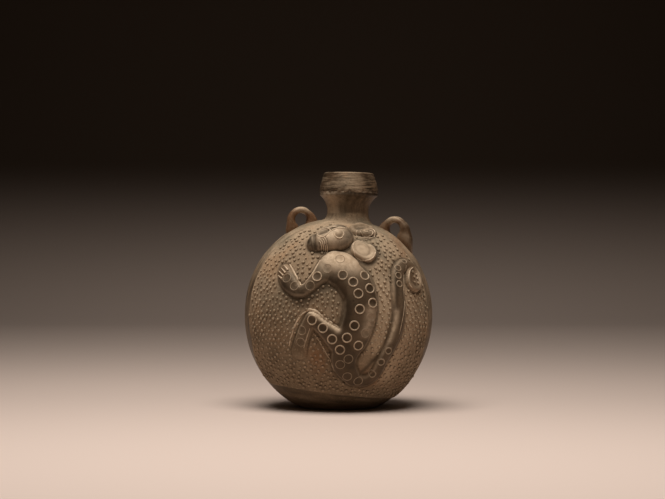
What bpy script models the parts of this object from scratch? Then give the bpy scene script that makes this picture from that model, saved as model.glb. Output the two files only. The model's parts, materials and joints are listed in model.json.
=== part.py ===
"""Press-moulded blackware jar with a spotted feline in relief.

One fired piece: a hollow, nearly round body on a flat base, a short neck with a
cambered collar, two strap lugs on the shoulders and, on the front, a feline that
looks up to the left with its tail curled over at the right.

The front faces -Y, +Z is up, and the origin is the centre of the flat base.
"""

import math

import bmesh
import bpy
import numpy as np
from mathutils.geometry import delaunay_2d_cdt

# Sizes are in millimetres and become metres when a mesh is made
MM = 0.001

# Body: two rounded halves of a mould, joined at the sides
BODY_HALF_WIDTH = 80.0
BODY_HALF_DEPTH = 67.0
WIDEST_HEIGHT = 78.0
CROWN_HEIGHT = 161.0
CROWN_FULLNESS = 2.1
FOOT_HALF_WIDTH = 33.0
FOOT_HALF_DEPTH = 30.0
WALL = 6.0

# Neck and collar, stacked above the body's crown; the neck stands off centre
NECK_OFFSET = 8.0
NECK_ROOT_RADIUS = 23.5
THROAT_RADIUS = 17.6
THROAT_RISE = 5.0
FLARE_RADIUS = 24.8
FLARE_LENGTH = 14.6
FLARE_CURVE = 2.4
COLLAR_RADIUS = 25.2
COLLAR_UNDERCUT = 2.7
COLLAR_LENGTH = 14.9
COLLAR_CAMBER = 0.4
COLLAR_CAMBER_SHARE = 0.55
LIP_RADIUS = 21.6
LIP_ROUND = 1.8
LIP_POINTS = ((0.0, 0.0), (0.5, 0.85), (1.2, 1.0))
LIP_INNER_RISE = 0.4
NECK_WALL = 4.6
BORE_TAPER = 2.0
BORE_TAPER_SHARE = 0.55
BORE_FOOT_RISE = 2.0
RIM_TILT = math.radians(1.2)

# Strap lugs: place across the shoulder, lift of the hole's centre, turn to the front,
# and how far the strap's legs spread towards the neck and away from it
LUGS = (
    {"across": -32.2, "lift": 5.6, "turn": math.radians(12.0), "skirts": (4.5, 1.5)},
    {"across": 48.2, "lift": 6.4, "turn": math.radians(-22.0), "skirts": (6.5, 3.2)},
)
LUG_FORWARD = 2.0
LUG_HOLE_RADIUS = 5.8
STRAP_THICKNESS = 4.8
STRAP_WIDTH = 10.0
STRAP_CORNER = 1.6
STRAP_SKIRT_START = math.radians(45.0)
STRAP_WRAP = math.radians(54.0)
STRAP_FOOT_SHARE = 0.25
STRAP_SINK = 0.5
STRAP_FOOT_SINK = 0.75

# The stippled front panel stands a little proud of the plain sides and foot
PANEL_RELIEF = 0.8
PANEL_STEP = 1.6
PANEL_SETBACK = 24.0
PANEL_TUCK = 0.34
PANEL_TUCK_HEIGHT = 58.0
PANEL_FOOT = 14.2
PANEL_FOOT_SLOPE = -0.12
PANEL_NECK_MARGIN = 1.5
PANEL_CORNER = 9.0

# The figure, drawn on the front view of the body in hundredths. Across is a share
# of the half width. Up is a share of the way from the widest level to the crown, or
# to the foot where it is negative. Half widths are shares of the body's half width,
# and heights are the relief in millimetres at the first and the last station.
TORSO = {"heights": (4.5, 3.5), "stations": (
    (-5.6, 51.0, 13.6), (8.0, 45.6, 13.8), (18.0, 34.7, 15.2), (22.0, 19.8, 16.8),
    (21.0, 1.2, 16.6), (14.8, -17.7, 16.0), (6.6, -34.1, 13.6), (5.6, -48.7, 11.6),
    (14.1, -62.7, 8.1))}
CHEST = {"heights": (4.2, 4.2), "stations": (
    (-4.0, 55.5, 12.0), (4.0, 53.5, 12.5), (10.0, 50.0, 11.5))}
FORELEG = {"heights": (4.0, 3.6), "stations": (
    (-7.6, 52.5, 12.4), (-14.4, 45.6, 9.8), (-21.0, 39.4, 7.4), (-26.5, 34.4, 6.1),
    (-32.0, 29.6, 5.6), (-37.0, 26.8, 5.6))}
PAW = {"heights": (3.6, 2.6), "stations": (
    (-37.5, 26.8, 5.6), (-44.0, 28.8, 7.0), (-51.4, 36.6, 8.8), (-55.8, 46.2, 7.2))}
THIGH = {"heights": (3.6, 4.2), "stations": (
    (-26.0, -0.4, 7.2), (-15.9, -8.7, 7.6), (-4.6, -18.8, 10.4), (5.0, -29.0, 12.4))}
ELBOW_FILL = {"heights": (3.2, 3.2), "stations": (
    (-2.0, 42.0, 11.0), (6.5, 37.0, 11.5), (12.0, 27.5, 11.0))}
SHIN = {"heights": (3.4, 0.4), "stations": (
    (-27.1, 1.1, 6.6), (-34.3, -13.2, 6.6), (-38.0, -24.0, 7.2), (-40.5, -35.0, 7.8))}
TAIL = {"heights": (3.2, 3.0), "stations": (
    (15.1, -63.7, 7.1), (27.0, -65.1, 6.1), (37.0, -57.9, 5.6), (43.9, -44.4, 5.6),
    (50.8, -32.1, 5.8), (58.3, -14.9, 6.2), (61.3, 3.4, 6.4), (60.3, 20.6, 6.4),
    (59.5, 36.7, 6.4), (60.8, 46.8, 6.2), (67.0, 52.2, 5.8), (74.0, 50.6, 5.4))}
TAIL_CURL = {"heights": (3.0, 3.0), "stations": (
    (76.8, 40.0, 11.4), (76.8, 36.0, 11.4))}
HEAD = {"heights": (7.5, 9.5), "stations": (
    (-22.0, 73.6, 10.4), (-12.5, 77.0, 13.8), (-1.6, 78.8, 16.6))}
UPPER_EAR = {"heights": (3.0, 2.4), "stations": (
    (20.5, 86.5, 9.2), (27.0, 87.0, 10.4), (34.0, 84.8, 5.6))}
LOWER_EAR = {"heights": (3.0, 3.0), "stations": (
    (21.8, 67.4, 10.0), (28.2, 64.0, 10.4))}
LIMBS = (TORSO, CHEST, FORELEG, PAW, ELBOW_FILL, THIGH, SHIN, TAIL, HEAD)
EARS = (UPPER_EAR, LOWER_EAR, TAIL_CURL)  # the dished forms
EAR_RIM = 2.6
EAR_DISH = 1.4

# Relief edges rise like the side of a pillow, and these powers set how steeply
LIMB_FULLNESS = 2.5
HEAD_FULLNESS = 2.0
SHOULDER_INSET = 1.6
BACK_INSET = 4.8
CREST_INSET = 8.2

# Spots: raised rings round a shallow dish, at (across, up) on the figure
SPOT_RADIUS = 4.3
SPOT_CREST_RADIUS = 3.4
SPOT_DISH_RADIUS = 2.4
SPOT_RIDGE = 0.8
SPOT_DISH = 0.3
SPOTS = (
    (3.9, 41.4), (13.9, 34.9), (18.9, 24.1), (20.3, 9.6), (25.4, 41.2), (30.3, 28.9),
    (33.1, 15.3), (-11.0, 47.4), (-21.1, 40.1), (1.4, 56.3), (-28.0, 31.6),
    (-43.4, 31.4), (-51.3, 38.7), (15.1, -6.3), (7.9, -18.5), (19.0, -26.5),
    (-6.5, -19.9), (-15.5, -8.7), (-26.1, -0.9), (1.1, -30.5), (9.4, -40.1),
    (1.4, -45.9), (25.9, -13.8), (31.3, 1.6), (8.3, -58.3), (19.0, -63.5))
EYE = (0.2, 75.6)
EYE_RADIUS = 3.0
EYE_CREST_RADIUS = 1.8
EYE_CREST_SHARE = 0.9
EYE_RELIEF = 1.3
SPOT_MARGIN = 0.4
TAIL_SPOT_SHARE = 0.72
TAIL_SPOTS = ((33.3, -56.7), (41.8, -44.2), (49.0, -32.7), (64.9, 54.7),
              (58.8, 48.0), (59.0, 40.8), (59.9, 32.9))

# How finely the surface is faceted
FOOT_SIDES = 44
NECK_SIDES = 40
INNER_RINGS = 15
ROOT_STEPS = 4
FLARE_STEPS = 6
STRAP_STEPS = 18
SEAM_SPACING = 9.0
GRID_SPACING = 1.2
PANEL_FILL = 8.5
BACK_FILL = 13.0
FIGURE_FILL = 5.6
FILL_ROW_SHARE = 0.87
FILL_CLEARANCE = 0.45
FEWEST_FILL = 8
SEAM_SHIFT = 0.25
OUTLINE_TOLERANCE = 0.22
LONGEST_OUTLINE_EDGE = 7.0
FEWEST_OUTLINE_POINTS = 6
SPOT_SIDES = 8
STATION_STEPS = 5
SMALL_TURN = 1e-4
FACET_TOLERANCE = 0.05
MERGE = 0.0005
WELD = 0.02
SHARP_ANGLE = math.radians(35.0)

FRONT_ARC = math.radians(82.0)
BLEND_START = math.radians(50.0)
FOOT_ANGLE = math.acos(FOOT_HALF_WIDTH / BODY_HALF_WIDTH)
ROOT_ANGLE = math.acos((NECK_ROOT_RADIUS / BODY_HALF_WIDTH) ** (CROWN_FULLNESS / 2))
CROWN_RISE = CROWN_HEIGHT - WIDEST_HEIGHT
THROAT_HEIGHT = CROWN_HEIGHT + THROAT_RISE
COLLAR_FOOT = THROAT_HEIGHT + FLARE_LENGTH + COLLAR_UNDERCUT
LIP_FOOT = COLLAR_FOOT + COLLAR_LENGTH


def ease(share):
    """Smooth step from 0 to 1."""
    share = np.clip(share, 0.0, 1.0)
    return share * share * (3.0 - 2.0 * share)


def plan_halves(height):
    """Half width and half depth of the body's outside at a height."""
    rise = np.clip((height - WIDEST_HEIGHT) / CROWN_RISE, 0.0, 1.0)
    upper = (1.0 - rise ** CROWN_FULLNESS) ** (1.0 / CROWN_FULLNESS)
    fall = np.clip((WIDEST_HEIGHT - height) / WIDEST_HEIGHT, 0.0, 1.0)
    foot_width_share = FOOT_HALF_WIDTH / BODY_HALF_WIDTH
    foot_depth_share = FOOT_HALF_DEPTH / BODY_HALF_DEPTH
    lower_width = np.sqrt(1.0 - (1.0 - foot_width_share ** 2) * fall ** 2)
    lower_depth = np.sqrt(1.0 - (1.0 - foot_depth_share ** 2) * fall ** 2)
    return BODY_HALF_WIDTH * upper * lower_width, BODY_HALF_DEPTH * upper * lower_depth


def crown_height_at(x, y):
    """Height of the body's upper half above a point of the plan."""
    reach = np.clip(np.hypot(x / BODY_HALF_WIDTH, y / BODY_HALF_DEPTH), 0.0, 1.0)
    return WIDEST_HEIGHT + CROWN_RISE * (1.0 - reach ** CROWN_FULLNESS) ** (1.0 / CROWN_FULLNESS)


def body_point(turn, climb):
    """Outside of the body without relief.

    turn runs round the body from the front, and climb up it from the widest level.
    Towards the neck, the rings slide over and become circles round the neck's axis.
    """
    turn, climb = np.broadcast_arrays(np.asarray(turn, float), np.asarray(climb, float))
    fall = np.sin(np.clip(-climb, 0.0, None)) / math.sin(FOOT_ANGLE)
    half_width, half_depth = plan_halves(WIDEST_HEIGHT * (1.0 - fall))
    upper = np.cos(np.clip(climb, 0.0, None)) ** (2.0 / CROWN_FULLNESS)
    slide = ease((climb - BLEND_START) / (ROOT_ANGLE - BLEND_START))
    half_depth = (half_depth + (half_width - half_depth) * slide) * upper
    half_width = half_width * upper
    x = NECK_OFFSET * slide + half_width * np.sin(turn)
    y = -half_depth * np.cos(turn)
    z = np.where(climb > 0.0, crown_height_at(x, y), WIDEST_HEIGHT * (1.0 - fall))
    return np.stack((x, y, z), axis=-1)


def body_normal(turn, climb):
    """Outward direction of the body at a point, by small differences."""
    step = SMALL_TURN
    across = body_point(turn + step, climb) - body_point(turn - step, climb)
    along = body_point(turn, climb + step) - body_point(turn, climb - step)
    normal = np.cross(across, along)
    return normal / np.linalg.norm(normal, axis=-1, keepdims=True)


def on_front(across, up):
    """Point of the body's front for figure shares across and up."""
    reach = CROWN_RISE if up > 0 else WIDEST_HEIGHT
    height = WIDEST_HEIGHT + reach * up / 100.0
    half_width, half_depth = plan_halves(height)
    x = BODY_HALF_WIDTH * across / 100.0
    y = -half_depth * math.sqrt(max(0.0, 1.0 - (x / half_width) ** 2))
    return np.array((x, y, height))


def smooth_path(stations):
    """Catmull-Rom points through stations of any number of values."""
    rows = np.array(stations, float)
    rows = np.vstack((2 * rows[0] - rows[1], rows, 2 * rows[-1] - rows[-2]))
    points = []
    for before, start, end, after in zip(rows, rows[1:], rows[2:], rows[3:]):
        for t in np.arange(STATION_STEPS) / STATION_STEPS:
            pull = end - before + (2 * before - 5 * start + 4 * end - after) * t
            bend = (3 * start - 3 * end + after - before) * t * t
            points.append(start + 0.5 * t * (pull + bend))
    points.append(rows[-2])
    return np.array(points)


def stroke_fields(limb, points):
    """Signed distance outside a limb's outline, its half width and its height."""
    path = smooth_path(limb["stations"])
    spine = np.array([on_front(across, up) for across, up, _ in path])
    halves = path[:, 2] * BODY_HALF_WIDTH / 100.0
    heights = np.linspace(limb["heights"][0], limb["heights"][1], len(path))
    edge = np.full(len(points), 1e6)
    half = np.ones(len(points))
    height = np.zeros(len(points))
    for k in range(len(spine) - 1):
        run = spine[k + 1] - spine[k]
        share = np.clip((points - spine[k]) @ run / (run @ run), 0.0, 1.0)
        half_here = halves[k] + share * (halves[k + 1] - halves[k])
        gap = np.linalg.norm(points - spine[k] - share[:, None] * run, axis=1) - half_here
        nearer = gap < edge
        edge = np.where(nearer, gap, edge)
        half = np.where(nearer, half_here, half)
        height = np.where(nearer, heights[k] + share * (heights[k + 1] - heights[k]), height)
    return edge, half, height


def pillow(edge, half, fullness):
    """Rise from 0 at an outline to 1 at the middle of a limb."""
    inside = np.clip(-edge / half, 0.0, 1.0)
    return (1.0 - (1.0 - inside) ** fullness) ** (1.0 / fullness)


def figure_edge(points):
    """Signed distance outside the whole figure."""
    return np.min([stroke_fields(limb, points)[0] for limb in LIMBS + EARS], axis=0)


def figure_relief(points):
    """Height of the figure above the panel."""
    relief = np.zeros(len(points))
    for limb in LIMBS:
        edge, half, height = stroke_fields(limb, points)
        fullness = HEAD_FULLNESS if limb is HEAD else LIMB_FULLNESS
        relief = np.maximum(relief, height * pillow(edge, half, fullness))
    for ear in EARS:
        edge, half, height = stroke_fields(ear, points)
        rim = height * pillow(edge, EAR_RIM, LIMB_FULLNESS)
        relief = np.maximum(relief, rim - EAR_DISH * ease((-edge - EAR_RIM) / EAR_RIM))
    return relief


def panel_inset(points):
    """Distance inside the panel's border, towards its middle."""
    x, y, z = points.T
    setback = PANEL_SETBACK - PANEL_TUCK * np.clip(PANEL_TUCK_HEIGHT - z, 0.0, None)
    foot = PANEL_FOOT + PANEL_FOOT_SLOPE * x
    neck = np.hypot(x - NECK_OFFSET, y) - NECK_ROOT_RADIUS - PANEL_NECK_MARGIN
    side, low = -y - setback, z - foot
    near = np.clip(PANEL_CORNER - np.abs(side - low), 0.0, None)
    rounded = np.minimum(side, low) - near ** 2 / (4.0 * PANEL_CORNER)
    return np.minimum(rounded, neck)


def spot_list():
    """Centre and size share of every spot."""
    full = [(on_front(*place), 1.0) for place in SPOTS]
    return full + [(on_front(*place), TAIL_SPOT_SHARE) for place in TAIL_SPOTS]


def spot_relief(points):
    """Rings and dishes of the feline's coat, added to the figure."""
    relief = np.zeros(len(points))
    radii = (0.0, SPOT_DISH_RADIUS, SPOT_CREST_RADIUS, SPOT_RADIUS)
    levels = (-SPOT_DISH, -SPOT_DISH, SPOT_RIDGE, 0.0)
    for centre, size in spot_list():
        radius = np.linalg.norm(points - centre, axis=1) / size
        relief += size * np.interp(radius, radii, levels)
    return relief * np.clip(-figure_edge(points) / SHOULDER_INSET, 0.0, 1.0)


def eye_relief(points):
    """Low round boss of the eye."""
    radius = np.linalg.norm(points - on_front(*EYE), axis=1)
    radii = (0.0, EYE_CREST_RADIUS, EYE_RADIUS)
    return EYE_RELIEF * np.interp(radius, radii, (1.0, EYE_CREST_SHARE, 0.0))


def relief_height(points):
    """Everything that stands off the plain body."""
    panel = PANEL_RELIEF * ease(panel_inset(points) / PANEL_STEP)
    return panel + figure_relief(points) + spot_relief(points) + eye_relief(points)


def raised(turn, climb):
    """Body points with their relief."""
    base = body_point(turn, climb)
    return base + body_normal(turn, climb) * relief_height(base)[:, None]


def contour_lines(field, level, us, vs):
    """Chains of flat points where a field on a grid crosses a level."""
    above = field > level
    links = {}
    places = {}

    def crossing(a, b):
        key = (a, b) if a < b else (b, a)
        if key not in places:
            first, second = key
            share = (level - field[first]) / (field[second] - field[first])
            places[key] = (
                us[first[0]] + share * (us[second[0]] - us[first[0]]),
                vs[first[1]] + share * (vs[second[1]] - vs[first[1]]))
        return key

    for i in range(len(us) - 1):
        for j in range(len(vs) - 1):
            corners = ((i, j), (i + 1, j), (i + 1, j + 1), (i, j + 1))
            flags = [above[c] for c in corners]
            if all(flags) or not any(flags):
                continue
            cuts = [crossing(corners[k], corners[(k + 1) % 4])
                    for k in range(4) if flags[k] != flags[(k + 1) % 4]]
            for a, b in zip(cuts[::2], cuts[1::2]):
                links.setdefault(a, []).append(b)
                links.setdefault(b, []).append(a)
    return [np.array([places[key] for key in chain]) for chain in chains_of(links)]


def chains_of(links):
    """Walk a set of links into chains, the open ones first."""
    chains = []
    ends = [key for key, near in links.items() if len(near) == 1]
    used = set()
    for start in ends + list(links):
        if start in used:
            continue
        chain = [start]
        used.add(start)
        while True:
            onward = [key for key in links[chain[-1]] if key not in used]
            if not onward:
                break
            chain.append(onward[0])
            used.add(onward[0])
        if len(chain) > 2 and chain[0] in links[chain[-1]]:
            chain.append(start)
        chains.append(chain)
    return chains


def thinned(line, tolerance, longest):
    """Fewest points of a line that keep its shape, none further apart than longest."""
    keep = {0, len(line) - 1}
    spans = [(0, len(line) // 2), (len(line) // 2, len(line) - 1)]
    keep.add(len(line) // 2)
    while spans:
        first, last = spans.pop()
        if last - first < 2:
            continue
        run = line[last] - line[first]
        length = np.hypot(*run)
        rest = line[first + 1:last] - line[first]
        off = np.abs(rest[:, 0] * run[1] - rest[:, 1] * run[0]) / max(length, 1e-9)
        worst = first + 1 + int(np.argmax(off))
        if off.max() <= tolerance and length <= longest:
            continue
        if off.max() <= tolerance:
            worst = (first + last) // 2
        keep.add(worst)
        spans += [(first, worst), (worst, last)]
    return line[sorted(keep)]


class Sheet:
    """Points and lines on the unrolled body, in millimetres along turn and climb."""

    def __init__(self):
        self.points = []
        self.edges = []
        self.guard = []

    def add_line(self, line, closed=False):
        """Add a chain of points whose edges the facets must follow."""
        first = len(self.points)
        self.points += [tuple(p) for p in line]
        last = len(self.points) - 1
        self.edges += [(k, k + 1) for k in range(first, last)]
        if closed:
            self.edges.append((last, first))

    def add_guard(self, line):
        """Keep fill points clear of these places."""
        self.guard.append(np.asarray(line))

    def add_fill(self, fill, clearance):
        """Add loose points where nothing else is near."""
        fill = np.asarray(fill)
        guard = np.vstack(self.guard)
        added = [p for p in fill if np.min(np.hypot(*(guard - p).T)) > clearance]
        self.points += [tuple(p) for p in added]
        if added:
            self.guard.append(np.array(added))


def unroll(points):
    """Sheet coordinates of points on the body below the sliding rings."""
    points = np.atleast_2d(points)
    x, y, z = points.T
    fall = np.clip((WIDEST_HEIGHT - z) / WIDEST_HEIGHT, 0.0, 1.0)
    rise = np.clip((z - WIDEST_HEIGHT) / CROWN_RISE, 0.0, 1.0)
    climb = np.where(z < WIDEST_HEIGHT,
                     -np.arcsin(fall * math.sin(FOOT_ANGLE)),
                     np.arcsin(rise ** (CROWN_FULLNESS / 2.0)))
    half_width, half_depth = plan_halves(z)
    turn = np.arctan2(x / half_width, -y / half_depth)
    return np.stack((turn * BODY_HALF_WIDTH, climb * CROWN_RISE), axis=-1)


def sheet_scale(place):
    """Real millimetres per sheet millimetre, along turn and along climb."""
    turn, climb = place[0] / BODY_HALF_WIDTH, place[1] / CROWN_RISE
    step = SMALL_TURN
    across = body_point(turn + step, climb) - body_point(turn - step, climb)
    along = body_point(turn, climb + step) - body_point(turn, climb - step)
    return np.array((np.linalg.norm(across) / (2 * step * BODY_HALF_WIDTH),
                     np.linalg.norm(along) / (2 * step * CROWN_RISE)))


def add_outlines(sheet):
    """Outlines of the panel and the figure, at their foot and their shoulder."""
    us = np.arange(-FRONT_ARC * BODY_HALF_WIDTH, FRONT_ARC * BODY_HALF_WIDTH, GRID_SPACING)
    vs = np.arange(-FOOT_ANGLE * CROWN_RISE, ROOT_ANGLE * CROWN_RISE, GRID_SPACING)
    vs = vs[1:-1]
    grid = body_point(us[:, None] / BODY_HALF_WIDTH, vs[None, :] / CROWN_RISE)
    flat = grid.reshape(-1, 3)
    edge = figure_edge(flat).reshape(grid.shape[:2])
    inset = panel_inset(flat).reshape(grid.shape[:2])
    levels = ((edge, 0.0), (edge, -SHOULDER_INSET), (edge, -BACK_INSET),
              (edge, -CREST_INSET), (inset, 0.0), (inset, PANEL_STEP))
    for field, level in levels:
        for line in contour_lines(field, level, us, vs):
            if len(line) < FEWEST_OUTLINE_POINTS:
                continue
            sheet.add_guard(line[::2])
            line = thinned(line, OUTLINE_TOLERANCE, LONGEST_OUTLINE_EDGE)
            closed = np.allclose(line[0], line[-1])
            sheet.add_line(line[:-1] if closed else line, closed)


def add_circles(sheet, centre, radii):
    """Circles round a point of the body, broken where they leave the figure."""
    angles = np.arange(SPOT_SIDES) * 2.0 * math.pi / SPOT_SIDES
    circle = np.stack((np.cos(angles), np.sin(angles)), axis=-1)
    middle = unroll(centre)[0]
    scale = sheet_scale(middle)
    for radius in radii:
        ring = middle + circle * radius / scale
        base = body_point(ring[:, 0] / BODY_HALF_WIDTH, ring[:, 1] / CROWN_RISE)
        inside = figure_edge(base) < -SPOT_MARGIN
        if inside.all():
            sheet.add_line(ring, closed=True)
            sheet.add_guard(ring)
        else:
            sheet.add_fill(ring[inside], SPOT_MARGIN)
    sheet.add_guard([middle])


def add_spots(sheet):
    """Circles of every spot's ring and dish, and of the eye."""
    for centre, size in spot_list():
        radii = (SPOT_RADIUS, SPOT_CREST_RADIUS, SPOT_DISH_RADIUS)
        add_circles(sheet, centre, [radius * size for radius in radii])
    add_circles(sheet, on_front(*EYE), (EYE_RADIUS, EYE_CREST_RADIUS))


def add_fill_points(sheet):
    """Loose points: dense on the figure, wider on the panel and widest behind."""
    top = ROOT_ANGLE * CROWN_RISE
    bottom = -FOOT_ANGLE * CROWN_RISE
    for spacing, figure_only in ((FIGURE_FILL, True), (PANEL_FILL, False), (BACK_FILL, False)):
        rows = int((top - bottom) / (spacing * FILL_ROW_SHARE))
        for row in range(1, rows):
            v = bottom + (top - bottom) * row / rows
            stretch = sheet_scale((0.0, v))[0]
            count = max(FEWEST_FILL, int(2 * math.pi * BODY_HALF_WIDTH * stretch / spacing))
            shift = 0.5 * (row % 2) + SEAM_SHIFT
            us = (np.arange(count) + shift) / count * 2.0 - 1.0
            us = us * math.pi * BODY_HALF_WIDTH
            fronts = np.abs(us) < FRONT_ARC * BODY_HALF_WIDTH
            us = us[~fronts] if spacing == BACK_FILL else us[fronts]
            fill = np.stack((us, np.full(len(us), v)), axis=-1)
            if figure_only and len(fill):
                base = body_point(fill[:, 0] / BODY_HALF_WIDTH, fill[:, 1] / CROWN_RISE)
                fill = fill[figure_edge(base) < 0.0]
            if len(fill):
                sheet.add_fill(fill, spacing * FILL_CLEARANCE)


def body_sheet():
    """Facets of the body from the foot's edge to the neck's root."""
    sheet = Sheet()
    half_turn = math.pi * BODY_HALF_WIDTH
    bottom, top = -FOOT_ANGLE * CROWN_RISE, ROOT_ANGLE * CROWN_RISE
    steps = int((top - bottom) / SEAM_SPACING)
    sides = np.linspace(bottom, top, steps + 1)
    foot = np.linspace(-half_turn, half_turn, FOOT_SIDES + 1)
    root = np.linspace(-half_turn, half_turn, NECK_SIDES + 1)
    border = [(u, bottom) for u in foot]
    border += [(half_turn, v) for v in sides[1:-1]]
    border += [(u, top) for u in root[::-1]]
    border += [(-half_turn, v) for v in sides[-2:0:-1]]
    sheet.add_line(border, closed=True)
    sheet.add_guard(border)
    add_outlines(sheet)
    add_spots(sheet)
    add_fill_points(sheet)
    flat, _edges, faces, *_ = delaunay_2d_cdt(
        sheet.points, sheet.edges, [], 0, FACET_TOLERANCE)
    flat = np.array([tuple(p) for p in flat])
    points = raised(flat[:, 0] / BODY_HALF_WIDTH, flat[:, 1] / CROWN_RISE)
    return points, [tuple(face) for face in faces]


def neck_ring(radius, height, sides=NECK_SIDES):
    """Circle round the neck's axis, tilted a little as the thrown rim is."""
    turn = np.linspace(-math.pi, math.pi, sides + 1)[:-1]
    x = radius * np.sin(turn)
    y = -radius * np.cos(turn)
    share = ease((height - THROAT_HEIGHT) / (FLARE_LENGTH + COLLAR_UNDERCUT))
    return np.stack((x + NECK_OFFSET, y, height - share * math.tan(RIM_TILT) * x), axis=-1)


def neck_profile():
    """Radii and heights up the outside of the neck and collar, over the lip."""
    profile = []
    for t in np.linspace(0.0, 1.0, FLARE_STEPS):
        radius = THROAT_RADIUS + (FLARE_RADIUS - THROAT_RADIUS) * t ** FLARE_CURVE
        profile.append((radius, THROAT_HEIGHT + FLARE_LENGTH * t))
    camber_radius = (COLLAR_RADIUS + LIP_RADIUS) / 2.0 + COLLAR_CAMBER
    profile.append((COLLAR_RADIUS, COLLAR_FOOT))
    profile.append((camber_radius, COLLAR_FOOT + COLLAR_CAMBER_SHARE * COLLAR_LENGTH))
    for inset, rise in LIP_POINTS:
        profile.append((LIP_RADIUS - inset * LIP_ROUND, LIP_FOOT + rise * LIP_ROUND))
    profile.append((LIP_RADIUS - NECK_WALL, LIP_FOOT + LIP_INNER_RISE * LIP_ROUND))
    return profile


def bore_profile():
    """Radii and heights down the inside of the neck."""
    return [(FLARE_RADIUS - NECK_WALL - BORE_TAPER, COLLAR_FOOT),
            (THROAT_RADIUS - NECK_WALL + BORE_TAPER,
             THROAT_HEIGHT + BORE_TAPER_SHARE * FLARE_LENGTH),
            (THROAT_RADIUS - NECK_WALL, THROAT_HEIGHT + BORE_FOOT_RISE)]


def neck_rings():
    """Rings from just above the neck's root to the bore's lower end."""
    turn = np.linspace(-math.pi, math.pi, NECK_SIDES + 1)[:-1]
    root = body_point(turn, np.full(NECK_SIDES, ROOT_ANGLE))
    rings = []
    for step in range(1, ROOT_STEPS):
        angle = step / ROOT_STEPS * math.pi / 2
        radius = NECK_ROOT_RADIUS - (NECK_ROOT_RADIUS - THROAT_RADIUS) * math.sin(angle)
        ring = neck_ring(radius, THROAT_HEIGHT)
        ring[:, 2] = root[:, 2] + (THROAT_HEIGHT - root[:, 2]) * (1.0 - math.cos(angle))
        rings.append(ring)
    rings += [neck_ring(radius, height) for radius, height in neck_profile() + bore_profile()]
    return rings


def inner_rings():
    """Rings down the inside of the body, one wall in from the outside."""
    turn = np.linspace(-math.pi, math.pi, NECK_SIDES + 1)[:-1]
    climbs = np.linspace(ROOT_ANGLE, -FOOT_ANGLE, INNER_RINGS)
    return [body_point(turn, climb) - WALL * body_normal(turn, np.full(NECK_SIDES, climb))
            for climb in climbs]


def jar_shell():
    """The hollow jar without its lugs, as points and faces."""
    points, faces = body_sheet()
    points = list(points)

    def bridge(lower, upper):
        for k in range(NECK_SIDES):
            after = (k + 1) % NECK_SIDES
            faces.append((lower[k], lower[after], upper[after], upper[k]))

    def add_ring(ring):
        first = len(points)
        points.extend(ring)
        return list(range(first, first + len(ring)))

    turn = np.linspace(-math.pi, math.pi, NECK_SIDES + 1)[:-1]
    root = add_ring(raised(turn, np.full(NECK_SIDES, ROOT_ANGLE)))
    for ring in neck_rings() + inner_rings():
        above = add_ring(ring)
        bridge(root, above)
        root = above
    faces.append(tuple(reversed(root)))
    foot_turn = np.linspace(-math.pi, math.pi, FOOT_SIDES + 1)[:-1]
    foot = add_ring(raised(foot_turn, np.full(FOOT_SIDES, -FOOT_ANGLE)))
    faces.append(tuple(foot))
    return points, faces


def shoulder_under(point, sink):
    """Height below the shoulder at a point, sunk by a share of the wall."""
    return crown_height_at(point[0], point[1]) - sink * WALL


def lug_sections(centre, sideways, skirts):
    """Hole-side and outer points of the strap, from one foot over to the other.

    The inner side keeps following the round hole well below its middle, and the
    outer side spreads in a skirt. What would go through the wall stays inside it.
    """
    outer_radius = LUG_HOLE_RADIUS + STRAP_THICKNESS
    neck_side = math.copysign(1.0, NECK_OFFSET - centre[0])
    arch = []
    for angle in np.linspace(-STRAP_WRAP, math.pi + STRAP_WRAP, STRAP_STEPS):
        side = math.copysign(1.0, math.cos(angle))
        inner = centre + LUG_HOLE_RADIUS * math.cos(angle) * sideways
        inner[2] += LUG_HOLE_RADIUS * math.sin(angle)
        skirt = skirts[0] if side == neck_side else skirts[1]
        spread = skirt * max(0.0, math.sin(STRAP_SKIRT_START) - math.sin(angle))
        reach = outer_radius * (math.cos(angle) if math.sin(angle) > 0.0 else side)
        outer = centre + (reach + side * spread) * sideways
        outer[2] = max(centre[2] + outer_radius * math.sin(angle),
                       shoulder_under(outer, STRAP_SINK))
        arch.append([inner, outer])
    legs = []
    for side, (_inner, outer) in ((1.0, arch[0]), (-1.0, arch[-1])):
        leg = [centre + side * LUG_HOLE_RADIUS * STRAP_FOOT_SHARE * sideways, outer.copy()]
        for foot in leg:
            foot[2] = shoulder_under(foot, STRAP_FOOT_SINK)
        legs.append(leg)
    return [legs[0]] + arch + [legs[1]]


def lug_mesh(lug):
    """Strap bent over in an arch on the shoulder."""
    centre_y = -LUG_FORWARD
    centre = np.array((lug["across"], centre_y,
                       crown_height_at(lug["across"], centre_y) + lug["lift"]))
    sideways = np.array((math.cos(lug["turn"]), math.sin(lug["turn"]), 0.0))
    through = np.array((math.sin(lug["turn"]), -math.cos(lug["turn"]), 0.0))
    half = STRAP_WIDTH / 2.0
    points = []
    sections = lug_sections(centre, sideways, lug["skirts"])
    for inner, outer in sections:
        thickness = np.linalg.norm(outer - inner)
        cut = (outer - inner) * STRAP_CORNER / thickness
        for wide in (half - STRAP_CORNER, -half + STRAP_CORNER):
            points.append(outer + through * wide)
        points += [outer - cut - through * half, inner + cut - through * half]
        for wide in (-half + STRAP_CORNER, half - STRAP_CORNER):
            points.append(inner + through * wide)
        points += [inner + cut + through * half, outer - cut + through * half]
    sides = 8
    faces = []
    for k in range(len(sections) - 1):
        for j in range(sides):
            after = (j + 1) % sides
            faces.append((k * sides + j, k * sides + after,
                          (k + 1) * sides + after, (k + 1) * sides + j))
    faces.append(tuple(range(sides))[::-1])
    faces.append(tuple(range((len(sections) - 1) * sides, len(sections) * sides)))
    return points, faces


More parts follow.
